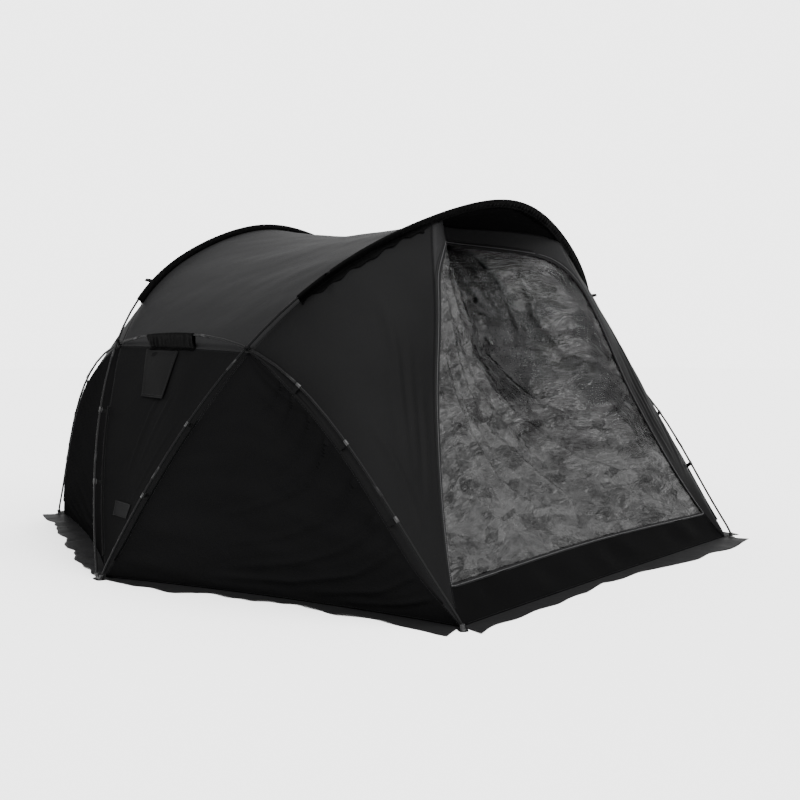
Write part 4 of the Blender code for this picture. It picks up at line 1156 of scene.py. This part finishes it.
def add_zip(end, u, v, film_rows, film_columns):
    """Follows the window's outline up its left edge, over the top, down, and back along the sill."""
    (r0, r1), (c0, c1) = film_rows, film_columns
    places = END_WALL[end](u, v)
    normals = outward_normals(places)
    up = [(r, c0) for r in range(r0, r1 + 1)]
    over = [(r1, c) for c in range(c0 + 1, c1, 2)]
    down = [(r, c1) for r in range(r1, r0 - 1, -1)]
    back = [(r0, c) for c in range(c1 - 1, c0, -2)]
    ring = up + over + down + back + [up[0]]
    line = np.array([places[p] for p in ring])
    normal = np.array([normals[p] for p in ring])
    run = unit(np.roll(line, -1, 0) - np.roll(line, 1, 0))
    run[0] = run[-1] = unit(line[1] - line[-2])
    out = unit(np.cross(run, normal))
    middle = line.mean(0)
    if (out[len(up) // 2] * (line[len(up) // 2] - middle)).sum() < 0:
        out = -out
    share_up = np.array([v[p] for p in ring])
    on_sill = np.array([p in set(back) for p in ring])
    margins = window_margin(END_WALL[end], share_up) * np.linalg.norm(
        END_WALL[end](1.0, share_up) - END_WALL[end](0.0, share_up), axis=-1)
    beside_film = np.where(share_up < WINDOW_SHOULDER, ZIP_MARGIN_SHARE * margins, ZIP_TAPE)
    width = np.where(on_sill, 0.5 * ZIP_TAPE, beside_film)
    width = np.convolve(np.concatenate([width[-6:-1], width, width[1:6]]), np.ones(11) / 11, "valid")
    across = np.linspace(-ZIP_OVERLAP, 1, 6)
    grid = line + normal * ZIP_LIFT + out * (across[:, None] * width)[..., None]
    a, b = cloth_coordinates(grid)
    piece = mesh_of_grids(f"{END_NAMES[end]}_zip_tape", [(grid, a, b, 0)], [ZIP_CLOTH], ZIP_THICKNESS,
                          normal[len(ring) // 2])
    fixed(piece, slot="shell_fabric")
    teeth_line = line + normal * (ZIP_LIFT + TOOTH_LIFT) + out * (0.5 * width)[:, None]
    teeth = grown(f"{END_NAMES[end]}_zip_teeth", DASHES, {"Spacing": TOOTH_SPACING, "Length": TOOTH_LENGTH,
                  "Radius": TOOTH_RADIUS, "Material": ZIP_TEETH}, path_mesh([teeth_line]))
    fixed(teeth)
    for share in ZIP_STITCH_SHARES:
        stitch_lines.append(line + normal * (ZIP_LIFT + STITCH_RADIUS) + out * (share * width)[:, None])


for end in (FRONT, REAR):
    window = window_grid(END_WALL[end], *WINDOW_CELLS)
    film_block = tuple(slice(low, high + 1) for low, high in window[2:])
    add_film(end, window[0][film_block], window[1][film_block])
    add_surround(end, *window)
    add_zip(end, *window)

# The sleeves
# A tube of thin black cloth holds the upper part of each pole. It is sewn into the seam below, a little too
# long for it, so it gathers. Its raw hem hangs on the outside, over the corner panels and under the brim.

SLEEVE_SPAN = {"long": (0.859, math.pi - 0.859), "short": (1.457, 1.680)}
SLEEVE_RADIUS = 0.0098
SLEEVE_WRAP = math.radians(70)
# The long sleeves' hem reaches down over the corner panels and under the brim as a dark band: partly the
# sleeve and its seam, partly painted shade under the pole and the brim.
SLEEVE_HEM_AND_SHADE_BAND = {"long": 0.034, "short": 0.012}
HEM_STAND_OFF = 0.003
SEAM_HALF_GAP = 0.0006
SLEEVE_STEPS = {"long": 420, "short": 60}
HEM_BLEND = 0.06
HEM_LIFT = 0.0025
LONG_SLEEVE_SEED = 80
SHORT_SLEEVE_SEED = 90
# The sleeve cloth is a far darker copy of the shell's cloth: partly the sleeve's own black, partly painted
# shade under the pole and the brim.
SLEEVE_CLOTH_PAINTED_SHADE = cloth_finish("SleeveClothPaintedShade", 0.0004, 0.0008, 0.55, 0.012, 1.0, 0.4, 14.0)


def main_seam(end):
    """The seam inside a long pole, from foot to foot."""

    def at(t):
        t = np.asarray(t, float)
        near = np.minimum(t, math.pi - t)
        leg = MAIN_LEG[end](np.clip(near / MAIN_CROSSING, 0, 1) ** (1 / LEG_CROWDING))
        edge = roof_edge(end)(np.interp(near, [MAIN_CROSSING, WALL_CORNER, math.pi / 2], [0, 0.25, 0.5]))
        return mirrored_where(t > math.pi / 2, np.where((near < MAIN_CROSSING)[..., None], leg, edge))

    return at


def beside_seam(t):
    """The seam inside the left short pole, from the front foot to the rear one."""
    t = np.asarray(t, float)
    first, last = SIDE_CROSSING[FRONT], SIDE_CROSSING[REAR]
    front_leg = SIDE_LEG[FRONT](np.clip(t / first, 0, 1) ** (1 / LEG_CROWDING))
    rear_leg = SIDE_LEG[REAR](np.clip((math.pi - t) / (math.pi - last), 0, 1) ** (1 / LEG_CROWDING))
    top = side_top(np.clip((t - first) / (last - first), 0, 1))
    return np.where((t < first)[..., None], front_leg, np.where((t > last)[..., None], rear_leg, top))


def pole_frame(arch, seam, t):
    """At each angle of a pole: its run, the way to its seam, and the way across."""
    run = unit(arch(t + SMALL_ANGLE) - arch(t - SMALL_ANGLE))
    way = seam(t) - arch(t)
    way = unit(way - run * (way * run).sum(-1, keepdims=True))
    return run, way, np.cross(run, way)


def long_hem_way(end, t):
    """The way a long sleeve's hem hangs: down the corner panel at its ends, and under the brim between."""
    near = np.minimum(t, math.pi - t)
    q = np.clip((near - MAIN_CROSSING) / (WALL_CORNER - MAIN_CROSSING), 0, 1)
    down_panel = unit(CORNER_PANEL[end](q, 0.96) - CORNER_PANEL[end](q, 1.0))
    share = np.interp(near, [WALL_CORNER, math.pi / 2], [0.25, 0.5])
    edge, within = (0.0, 0.04) if end == FRONT else (1.0, 0.96)
    under_brim = unit(ROOF(share, within) - ROOF(share, edge))
    way = mix(down_panel, under_brim, eased((near - WALL_CORNER + HEM_BLEND) / (2 * HEM_BLEND)))
    return mirrored_where(t > math.pi / 2, unit(way))


def short_hem_way(t):
    first, last = SIDE_CROSSING[FRONT], SIDE_CROSSING[REAR]
    u = 1 - (t - first) / (last - first)
    return unit(MIDDLE(u, 0.96) - MIDDLE(u, 1.0))


def sleeve_grid(arch, seam, hem_way, kind, turn, seed):
    """The sleeve as one sheet: from its hem to the seam, up to the pole, round it, and back to the seam."""
    first, last = SLEEVE_SPAN[kind]
    t = np.linspace(first, last, SLEEVE_STEPS[kind])
    place, low = arch(t), seam(t)
    run, way, across = pole_frame(arch, seam, t)
    across = across * turn
    hem = hem_way(t)
    sewn = low + across * SEAM_HALF_GAP
    length = SLEEVE_HEM_AND_SHADE_BAND[kind] * (1 + soft_waves(t * 2, 0 * t, seed, 8, 0.08, 0.5, 0.9, 0.0, 0.0))
    rows, loose = [], []
    for s in np.linspace(1, 0, 6)[:-1]:
        rows.append(sewn + hem * (length * s)[:, None] + across * (HEM_LIFT + HEM_STAND_OFF * s))
        loose.append(0.4 + 0.6 * s)
    wrap = np.linspace(SLEEVE_WRAP, 2 * math.pi - SLEEVE_WRAP, 11)
    ring = [place + (way * math.cos(a) + across * math.sin(a)) * SLEEVE_RADIUS for a in wrap]
    for s in np.linspace(0, 1, 7)[:-1]:
        rows.append(mix(sewn, ring[0], np.full(len(t), s)))
        loose.append(math.sin(math.pi * s))
    rows += ring
    loose += [0.12] * len(ring)
    for s in np.linspace(0, 1, 6)[1:]:
        rows.append(mix(ring[-1], low - across * SEAM_HALF_GAP, np.full(len(t), s)))
        loose.append(math.sin(math.pi * s))
    places = np.array(rows)
    cut = flat_size(places)
    a, b = cloth_coordinates(places)
    facing = unit(places[len(rows) // 2, len(t) // 2] - place[len(t) // 2])
    normals = grid_normals(places)
    if normals[len(rows) // 2, len(t) // 2].dot(facing) < 0:
        normals = -normals
    waves = soft_waves(a, b, seed + 1, 9, 0.03, 0.09, 0.007, 0.15, 0.35)
    places = places + normals * (np.abs(waves) * np.array(loose)[:, None])[..., None]
    return places, a, b, cut, facing


def add_sleeve(name, node, grid, side):
    places, a, b, cut, facing = grid
    places, facing = on_side(places, side), on_side(facing, side)
    piece = mesh_of_grids(name, [(places, a, b, 0)], [SLEEVE_CLOTH_PAINTED_SHADE], CLOTH, facing)
    fixed(piece, node, slot="shell_fabric")


for end in (FRONT, REAR):
    end_name = END_NAMES[end]
    made = sleeve_grid(main(end), main_seam(end), lambda t, e=end: long_hem_way(e, t), "long", end,
                       LONG_SLEEVE_SEED + end)
    add_sleeve(f"{end_name}_long_sleeve", f"{end_name}_arch_sleeve", made, LEFT)
for side in (LEFT, RIGHT):
    made = sleeve_grid(beside, beside_seam, short_hem_way, "short", 1, SHORT_SLEEVE_SEED)
    add_sleeve(f"{SIDE_NAMES[side]}_short_sleeve", f"{SIDE_NAMES[side]}_side_sleeve", made, side)

# The clips
# Below the sleeves the poles are held by moulded hooks, snapped on from inside. Each hangs on a webbing strap
# that is sewn to a tape along the seam.

LONG_CLIP_ANGLES = (0.420, 0.575)
SHORT_CLIP_ANGLES = (0.635, 0.850, 1.032)
HOOK_WIDTH = 0.030
HOOK_RADIUS = 0.0078
HOOK_WALL = 0.0021
HOOK_OPENING = math.radians(240)
HOOK_START = -0.25
CORNER_EASE = 0.35
STRAP_BULGE = 0.0022
STRAP_STAND_OFF = 0.0016
CLIP_END = 0.012
STRAP_WIDTH = 0.025
STRAP_THICKNESS = 0.0018
STRAP_START = 0.002
SEAM_TAPE_GAP = 0.0009
SEAM_TAPE_WIDTH = 0.011
SEAM_TAPE_THICKNESS = 0.0020
LOWEST_LEG_SHARE = (1 / 9) ** LEG_CROWDING
WEBBING = cloth_finish("RibbedWebbing", 0.0018, 0.0032, 0.60, 0.03, 0.5, 0.6, 160.0)
HOOK_PLASTIC = hard_finish("MouldedHook", (0.006, 0.006, 0.0062), (0.32, 0.5), 0.30, 300.0)


def rounded_bar(width, thickness):
    """The outline of a flat bar with eased corners."""
    x, y = width / 2, thickness / 2
    c = CORNER_EASE * min(x, y)
    right = [(x - c, -y), (x, -y + c), (x, y - c), (x - c, y)]
    left = [(-px, py) for px, py in right]
    return [left[0], *right, *left[:0:-1]]


def run_up(points):
    """How far along a line each of its points lies."""
    return np.concatenate([[0], np.cumsum(np.linalg.norm(np.diff(points, axis=0), axis=1))])


def skin(bm, rings, number):
    """Joins rings of points into one closed skin. Returns the faces between them, ring by ring."""
    faces = []
    for low, high in zip(rings, rings[1:]):
        for i in range(len(low)):
            k = (i + 1) % len(low)
            face = bm.faces.new((low[i], low[k], high[k], high[i]))
            face.smooth = True
            face.material_index = number
            faces.append(face)
    for ring in (rings[0][::-1], rings[-1]):
        bm.faces.new(ring).material_index = number
    return faces


def sweep(bm, uv_layer, line, side, up, outline, number=0):
    """Sweeps an outline along a line and closes both ends. The UVs run along and around it, in metres."""
    rings = [[bm.verts.new(p + s * x + n * y) for x, y in outline] for p, s, n in zip(line, side, up)]
    along = run_up(line)
    around = run_up(np.array(outline + outline[:1]))
    for step, face in enumerate(skin(bm, rings, number)):
        j, i = divmod(step, len(outline))
        uvs = ((around[i], along[j]), (around[i + 1], along[j]), (around[i + 1], along[j + 1]),
               (around[i], along[j + 1]))
        for loop, uv in zip(face.loops, uvs):
            loop[uv_layer].uv = uv


def solid_piece(name, build, materials):
    """A piece from a function that fills a mesh, with its faces turned outwards."""
    bm = bmesh.new()
    uv_layer = bm.loops.layers.uv.new("cloth")
    build(bm, uv_layer)
    bmesh.ops.recalc_face_normals(bm, faces=bm.faces)
    return piece_of(bm, name, materials)


def flip_of(mirror):
    return OTHER_SIDE if mirror else np.ones(3)


def clip_row(arch, seam, angles, first, last, mirror):
    """Builds a tape along the seam, and a strap with its hook at each angle."""
    flip = flip_of(mirror)

    def build(bm, uv_layer):
        t = np.linspace(first, last, 60)
        across = pole_frame(arch, seam, t)[2]
        up = unit(arch(t) - seam(t))
        centre = seam(t) + up * (SEAM_TAPE_GAP + SEAM_TAPE_WIDTH / 2)
        sweep(bm, uv_layer, centre * flip, up * flip, across * flip,
              rounded_bar(SEAM_TAPE_WIDTH, SEAM_TAPE_THICKNESS), 0)
        for angle in angles:
            t = np.array([angle])
            run, way, across = (v[0] for v in pole_frame(arch, seam, t))
            place, low = arch(t)[0], seam(t)[0]
            top = place + way * (HOOK_RADIUS + HOOK_WALL / 2)
            steps = np.linspace(0, 1, 9)
            bulge = STRAP_BULGE * np.sin(math.pi * steps) ** 2
            start = low + unit(place - low) * STRAP_START
            line = mix(start, top, steps) + across * (STRAP_STAND_OFF + bulge)[:, None]
            runs, facing = (np.tile(way_out, (len(steps), 1)) for way_out in (run, across))
            sweep(bm, uv_layer, line * flip, runs * flip, facing * flip,
                  rounded_bar(STRAP_WIDTH, STRAP_THICKNESS), 0)
            turn = np.linspace(HOOK_START, HOOK_OPENING, 18)
            radial = way * np.cos(turn)[:, None] + across * np.sin(turn)[:, None]
            sweep(bm, uv_layer, (place + radial * HOOK_RADIUS) * flip, np.tile(run, (len(turn), 1)) * flip,
                  radial * flip, rounded_bar(HOOK_WIDTH, HOOK_WALL), 1)

    return build


for end in (FRONT, REAR):
    for side in (LEFT, RIGHT):
        row = clip_row(main(end), main_seam(end), LONG_CLIP_ANGLES, MAIN_CROSSING * LOWEST_LEG_SHARE,
                       LONG_CLIP_ANGLES[-1] + CLIP_END, side == RIGHT)
        piece = solid_piece(f"{END_NAMES[end]}_{SIDE_NAMES[side]}_long_pole_clips", row,
                            [WEBBING, HOOK_PLASTIC])
        fixed(piece, f"{END_NAMES[end]}_arch_{SIDE_NAMES[side]}_clips", slot="webbing")
        low, high = SIDE_CROSSING[FRONT] * LOWEST_LEG_SHARE, SHORT_CLIP_ANGLES[-1] + CLIP_END
        angles = SHORT_CLIP_ANGLES
        if end == REAR:
            low = math.pi - (math.pi - SIDE_CROSSING[REAR]) * LOWEST_LEG_SHARE
            high = math.pi - high
            angles = [math.pi - angle for angle in SHORT_CLIP_ANGLES]
        row = clip_row(beside, beside_seam, angles, low, high, side == RIGHT)
        piece = solid_piece(f"{SIDE_NAMES[side]}_{END_NAMES[end]}_short_pole_clips", row,
                            [WEBBING, HOOK_PLASTIC])
        fixed(piece, f"{SIDE_NAMES[side]}_side_{END_NAMES[end]}_clips", slot="webbing")

# The feet
# Each pole's tip stands in a moulded cup, on a small square of webbing sewn to the corner of the shell. The
# feet at the middle of the sides carry two cups, one for each long pole.

FOOT_PROFILE = ((0.97, 0.0), (1.0, 0.0008), (1.0, 0.0022), (0.97, 0.003))
FOOT_SIDES = 40
FOOT_RIM = 0.002
FOOT_CENTRE = 0.025
FOOT_REACH = 0.050
CORNER_FOOT_HALF = 0.024
MIDDLE_FOOT_HALF = 0.045
CUP_PROFILE = ((0.0155, 0.0030), (0.0152, 0.0046), (0.0124, 0.0062), (0.0118, 0.0090), (0.0118, 0.0250),
               (0.0126, 0.0262), (0.0126, 0.0288), (0.0118, 0.0300), (0.0096, 0.0300), (0.0088, 0.0288),
               (0.0088, 0.0048))
CUP_SIDES = 28


def squared(x):
    return np.sign(x) * np.abs(x) ** 0.5


def foot_builder(place, half, legs):
    outward = unit(np.array([place[0], place[1], 0.0]))
    inwards = -outward
    side = np.array([-inwards[1], inwards[0], 0.0])

    def ring_of(bm, share, z):
        ring = []
        for a in np.linspace(0, 2 * math.pi, FOOT_SIDES + 1)[:-1]:
            reach = (FOOT_REACH - FOOT_RIM * (1 - share)) * squared(math.cos(a))
            centre = place * LEVEL + np.array([0, 0, z]) + inwards * (FOOT_CENTRE + reach)
            ring.append(bm.verts.new(centre + side * (half * share * squared(math.sin(a)))))
        return ring

    def build(bm, uv_layer):
        skin(bm, [ring_of(bm, share, z) for share, z in FOOT_PROFILE], 0)
        for arch, t in legs:
            tip = arch(t)
            lean = arch(t + math.copysign(0.02, math.pi / 2 - t)) - tip
            lean = lean / lean[2]
            rings = []
            for radius, z in CUP_PROFILE:
                turn = np.linspace(0, 2 * math.pi, CUP_SIDES + 1)[:-1]
                centre = tip * LEVEL + lean * z
                around = [radius * np.array([math.cos(a), math.sin(a), 0]) for a in turn]
                rings.append([bm.verts.new(centre + step) for step in around])
            skin(bm, rings, 1)
        for face in bm.faces:
            for loop in face.loops:
                loop[uv_layer].uv = loop.vert.co.xy

    return build


for side in (LEFT, RIGHT):
    side_name = SIDE_NAMES[side]
    leg_end = 0.0 if side == LEFT else math.pi
    legs = [(main(end), leg_end) for end in (FRONT, REAR)]
    middle = np.array([side * MID_FOOT_X, MID_FOOT_Y, 0.0])
    piece = solid_piece(f"{side_name}_middle_foot_cups", foot_builder(middle, MIDDLE_FOOT_HALF, legs),
                        [WEBBING, HOOK_PLASTIC])
    fixed(piece, f"{side_name}_middle_foot", slot="webbing")
    for end in (FRONT, REAR):
        leg = (lambda t, s=side: side_arch(s, t), 0.0 if end == FRONT else math.pi)
        corner = np.array([side * CORNER_FOOT_X, end * CORNER_FOOT_Y, 0.0])
        piece = solid_piece(f"{END_NAMES[end]}_{side_name}_foot_cup",
                            foot_builder(corner, CORNER_FOOT_HALF, [leg]), [WEBBING, HOOK_PLASTIC])
        fixed(piece, f"{END_NAMES[end]}_{side_name}_foot", slot="webbing")

# The vent flaps and the label
# A flap of cloth hangs high on each middle wall, sewn on along its top. The vent behind it isn't modelled. A
# small bare patch is sewn on low down, on the left side alone.

FLAP_CORNERS = ((0.33, 0.755), (0.55, 0.755), (0.51, 0.985), (0.24, 0.985))
FLAP_STAND_OFF = (0.009, 0.0012)
FLAP_BULGE = 0.004
HEM_THICKNESS = 0.0012
HEM_SHARE = 0.06
LABEL_CORNERS = ((0.27, 0.295), (0.66, 0.295), (0.66, 0.352), (0.29, 0.352))
LABEL_STAND_OFF = (0.0050, 0.0050)
FLAP_CLOTH = cloth_finish("FlapCloth", 0.0022, 0.0032, 0.52, 0.02, 0.5)
LABEL_CLOTH = cloth_finish("LabelPatch", 0.0040, 0.0055, 0.50, 0.02, 0.2, 0.2, 60.0)


def patch_grid(corners, stand_off, cells):
    low_left, low_right, high_right, high_left = (np.array(c) for c in corners)
    x, y = np.meshgrid(np.linspace(0, 1, cells[0]), np.linspace(0, 1, cells[1]))
    shares = mix(mix(low_left, low_right, x), mix(high_left, high_right, x), y)
    places = MIDDLE(shares[..., 0], shares[..., 1])
    lift = stand_off[0] + (stand_off[1] - stand_off[0]) * y
    return x, y, places, outward_normals(places), lift


def add_patch(name, node, corners, stand_off, material, side, bulge):
    x, y, places, normals, lift = patch_grid(corners, stand_off, (34, 44))
    a, b = cloth_coordinates(places)
    hem = HEM_THICKNESS * (1 - eased(np.minimum.reduce([x, 1 - x, y, 1 - y]) / HEM_SHARE))
    swell = bulge * np.sin(math.pi * x) * np.sin(math.pi * y) + 0.4 * bulge * np.cos(5.5 * x + 1.3) * (1 - y)
    places = places + normals * (lift + hem + swell)[..., None]
    places = on_side(places, side)
    piece = mesh_of_grids(name, [(places, a, b, 0)], [material])
    fixed(piece, node, slot="shell_fabric")


for side in (LEFT, RIGHT):
    add_patch(f"{SIDE_NAMES[side]}_flap", f"{SIDE_NAMES[side]}_vent_flap", FLAP_CORNERS, FLAP_STAND_OFF,
              FLAP_CLOTH, side, FLAP_BULGE)
add_patch("bare_label", "label_patch", LABEL_CORNERS, LABEL_STAND_OFF, LABEL_CLOTH, LEFT, 0.0)

# The skirts
# A band of the shell's cloth is sewn on outside the base of every wall and lies on the ground in shallow
# ripples, to be weighted down. Its raw outer edge wanders.

SKIRT_INNER = -0.008
SKIRT_LOW = 0.0017
SKIRT_RIPPLE = 0.009
SKIRT_CELLS = (160, 14)
END_SKIRT_SEED = 100
SIDE_SKIRT_SEED = 110
END_SKIRT_WIDTHS = ((0.0, 0.125), (0.2, 0.098), (0.33, 0.118), (0.41, 0.06), (0.53, 0.107), (0.73, 0.17),
                    (0.84, 0.19), (1.0, 0.16))
FRONT_SIDE_WIDTHS = ((0.0, 0.06), (0.194, 0.127), (0.507, 0.086), (0.82, 0.118), (1.0, 0.147))
REAR_SIDE_WIDTHS = ((0.0, 0.06), (0.238, 0.146), (0.53, 0.166), (1.0, 0.15))
# The skirt is the shell's cloth, given a lighter grey than the walls as painted light falling on it from
# above where it lies flat.
SKIRT_CLOTH_PAINTED_SKY_LIGHT = cloth_finish("SkirtClothPaintedSkyLight", 0.0045, 0.0070, 0.52, 0.04, 0.8)


def skirt_grid(line, widths, tips, seed):
    """The skirt beside a base line. Its outer edge may run on past each end by that end's tip."""
    s = np.linspace(0.004, 0.996, SKIRT_CELLS[0])
    base = line(s)
    base[:, 2] = 0
    run = unit(np.gradient(base, axis=0))
    out = np.cross(run, [0, 0, 1.0])
    middle = SKIRT_CELLS[0] // 2
    if (out[middle] * base[middle]).sum() < 0:
        out = -out
    width = np.interp(s, [w[0] for w in widths], [w[1] for w in widths])
    width = width + soft_waves(s * 3, 0 * s, seed, 8, 0.15, 0.8, 0.024, 0.0, 0.0)
    shift = tips[1] * eased((s - 0.88) / 0.12) - tips[0] * eased((0.12 - s) / 0.12)
    share = np.linspace(0, 1, SKIRT_CELLS[1])[:, None]
    places = base + out * (SKIRT_INNER + share * width)[..., None] + run * (share * shift)[..., None]
    cut = flat_size(places)
    a, b = cloth_coordinates(places)
    ripple = np.abs(soft_waves(a, b, seed + 1, 8, 0.12, 0.6, SKIRT_RIPPLE, 0.1, 0.4))
    places[..., 2] = SKIRT_LOW + ripple * eased(share * 1.4)
    return places, a, b, cut


def add_skirt(name, node, line, widths, tips, seed, side):
    places, a, b, cut = skirt_grid(line, widths, tips, seed)
    places = on_side(places, side)
    piece = mesh_of_grids(name, [(places, a, b, 0)], [SKIRT_CLOTH_PAINTED_SKY_LIGHT], CLOTH, np.array([0, 0, 1.0]))
    fixed(piece, node, slot="shell_fabric")


for end in (FRONT, REAR):
    end_name = END_NAMES[end]
    add_skirt(f"{end_name}_ground_cloth", f"{end_name}_skirt", end_base(end), END_SKIRT_WIDTHS, (0.02, 0.07),
              END_SKIRT_SEED + end, LEFT)
    widths, tips = (FRONT_SIDE_WIDTHS, (0.0, 0.02)) if end == FRONT else (REAR_SIDE_WIDTHS, (0.0, 0.08))
    for side in (LEFT, RIGHT):
        side_name = SIDE_NAMES[side]
        add_skirt(f"{side_name}_{end_name}_ground_cloth", f"{side_name}_{end_name}_skirt", side_base(end),
                  widths, tips, SIDE_SKIRT_SEED + end, side)

# The ties and the guy tabs
# Two loops of narrow tape hold the poles together at each crossing. A folded tab of webbing stands near each
# end of a long pole's sleeve, for a guy line.

TIE_RADIUS = 0.0105
TIE_WIDTH = 0.010
TIE_THICKNESS = 0.0014
TIE_SPREAD = 1.25
RUN_STEP = 0.01
TAB_ANGLE = 0.93
TAB_WIDTH = 0.022
TAB_LENGTH = 0.048
TAB_THICKNESS = 0.0016
TAB_FOOT = 0.006
TAB_TURN = 0.9


def tie_builder(end, mirror):
    flip = flip_of(mirror)
    first, second = main_arch(end, MAIN_CROSSING), beside(SIDE_CROSSING[end])
    centre, apart = (first + second) / 2, unit(second - first)
    runs = [unit(main_arch(end, MAIN_CROSSING + RUN_STEP) - first),
            unit(beside(SIDE_CROSSING[end] + RUN_STEP) - second)]
    reach = np.linalg.norm(second - first) / 2

    def build(bm, uv_layer):
        for sign in (1, -1):
            along = unit(runs[0] + sign * runs[1])
            side = unit(np.cross(apart, along))
            turn = np.linspace(0, 2 * math.pi, 33)
            radial = side * np.cos(turn)[:, None] + apart * np.sin(turn)[:, None]
            line = centre + side * (np.cos(turn) * TIE_RADIUS * TIE_SPREAD)[:, None]
            line = line + apart * (np.sin(turn) * (reach + TIE_RADIUS))[:, None]
            sweep(bm, uv_layer, line * flip, np.tile(along, (len(turn), 1)) * flip, radial * flip,
                  rounded_bar(TIE_WIDTH, TIE_THICKNESS))

    return build


def tab_builder(end, mirror):
    flip = flip_of(mirror)
    t = np.array([TAB_ANGLE])
    run, way, across = (v[0] for v in pole_frame(main(end), main_seam(end), t))
    place = main_arch(end, TAB_ANGLE)
    out = unit(-way + TAB_TURN * end * across)

    def build(bm, uv_layer):
        s = np.linspace(0, 1, 21)
        loop = out[None] * (TAB_FOOT + TAB_LENGTH * np.sin(math.pi * s))[:, None]
        side = np.cross(run, out)
        line = place + loop + side * (TAB_FOOT * np.cos(math.pi * s))[:, None]
        runs = np.tile(run, (len(s), 1))
        up = unit(np.cross(runs, np.gradient(line, axis=0)))
        sweep(bm, uv_layer, line * flip, runs * flip, up * flip,
              rounded_bar(TAB_WIDTH, TAB_THICKNESS))

    return build


for end in (FRONT, REAR):
    for side in (LEFT, RIGHT):
        for kind, builder in (("cross_tie", tie_builder), ("guy_tab", tab_builder)):
            piece = solid_piece(f"{END_NAMES[end]}_{SIDE_NAMES[side]}_{kind}", builder(end, side == RIGHT),
                                [WEBBING])
            fixed(piece, slot="webbing")

# The stitching
# The seams of the walls are sewn with dark thread, a few millimetres from the edge of each panel. The hems of
# the flaps and the label are sewn once, and the zip's tape along both edges.

SEAM_STITCH_INSET = 0.006
STITCH_LIFT = 0.0009
PATCH_STITCH_LIFT = 0.0018
STITCH_POINTS = 120


def beside_edge(surface, u, v, step_u, step_v):
    """A line on a panel a few millimetres in from one edge, lifted off the cloth."""
    edge = surface(u, v)
    within = surface(u + step_u, v + step_v)
    inset = edge + unit(within - edge) * SEAM_STITCH_INSET
    normals = outward_normals(surface(*np.meshgrid(np.linspace(0.3, 0.7, 9), np.linspace(0.3, 0.7, 9))))
    return inset + normals[4, 4] * STITCH_LIFT


def on_both_sides(line):
    return [line, line * OTHER_SIDE]


LONG_SEAM = np.linspace(0.02, 0.98, STITCH_POINTS)
for end in (FRONT, REAR):
    for surface in (CORNER_PANEL[end], TRIANGLE[end]):
        for u, step in ((0.0, 0.02), (1.0, -0.02)):
            stitch_lines += on_both_sides(beside_edge(surface, np.full(STITCH_POINTS, u), LONG_SEAM, step, 0))
    stitch_lines += on_both_sides(beside_edge(TRIANGLE[end], LONG_SEAM, np.zeros(STITCH_POINTS), 0, 0.02))
    stitch_lines.append(beside_edge(END_WALL[end], LONG_SEAM, np.zeros(STITCH_POINTS), 0, 0.02))
    for u, step in ((0.0, 0.01), (1.0, -0.01)):
        stitch_lines.append(beside_edge(END_WALL[end], np.full(STITCH_POINTS, u), LONG_SEAM, step, 0))
for u, step in ((0.0, 0.02), (1.0, -0.02)):
    stitch_lines += on_both_sides(beside_edge(MIDDLE, np.full(STITCH_POINTS, u), LONG_SEAM, step, 0))
for corners, stand_off in ((FLAP_CORNERS, FLAP_STAND_OFF), (LABEL_CORNERS, LABEL_STAND_OFF)):
    x, y, places, normals, lift = patch_grid(corners, stand_off, (34, 44))
    lifted = places + normals * (lift + PATCH_STITCH_LIFT)[..., None]
    ring = np.vstack([lifted[2, 2:-2], lifted[2:-2, -3], lifted[-3, 2:-2][::-1], lifted[2:-2, 2][::-1]])
    stitch_lines.append(ring)
    if corners is FLAP_CORNERS:
        stitch_lines.append(ring * OTHER_SIDE)

stitches = grown("seam_stitches", DASHES, {"Spacing": STITCH_SPACING, "Length": STITCH_LENGTH,
                 "Radius": STITCH_RADIUS, "Material": THREAD}, path_mesh(stitch_lines))
fixed(stitches)
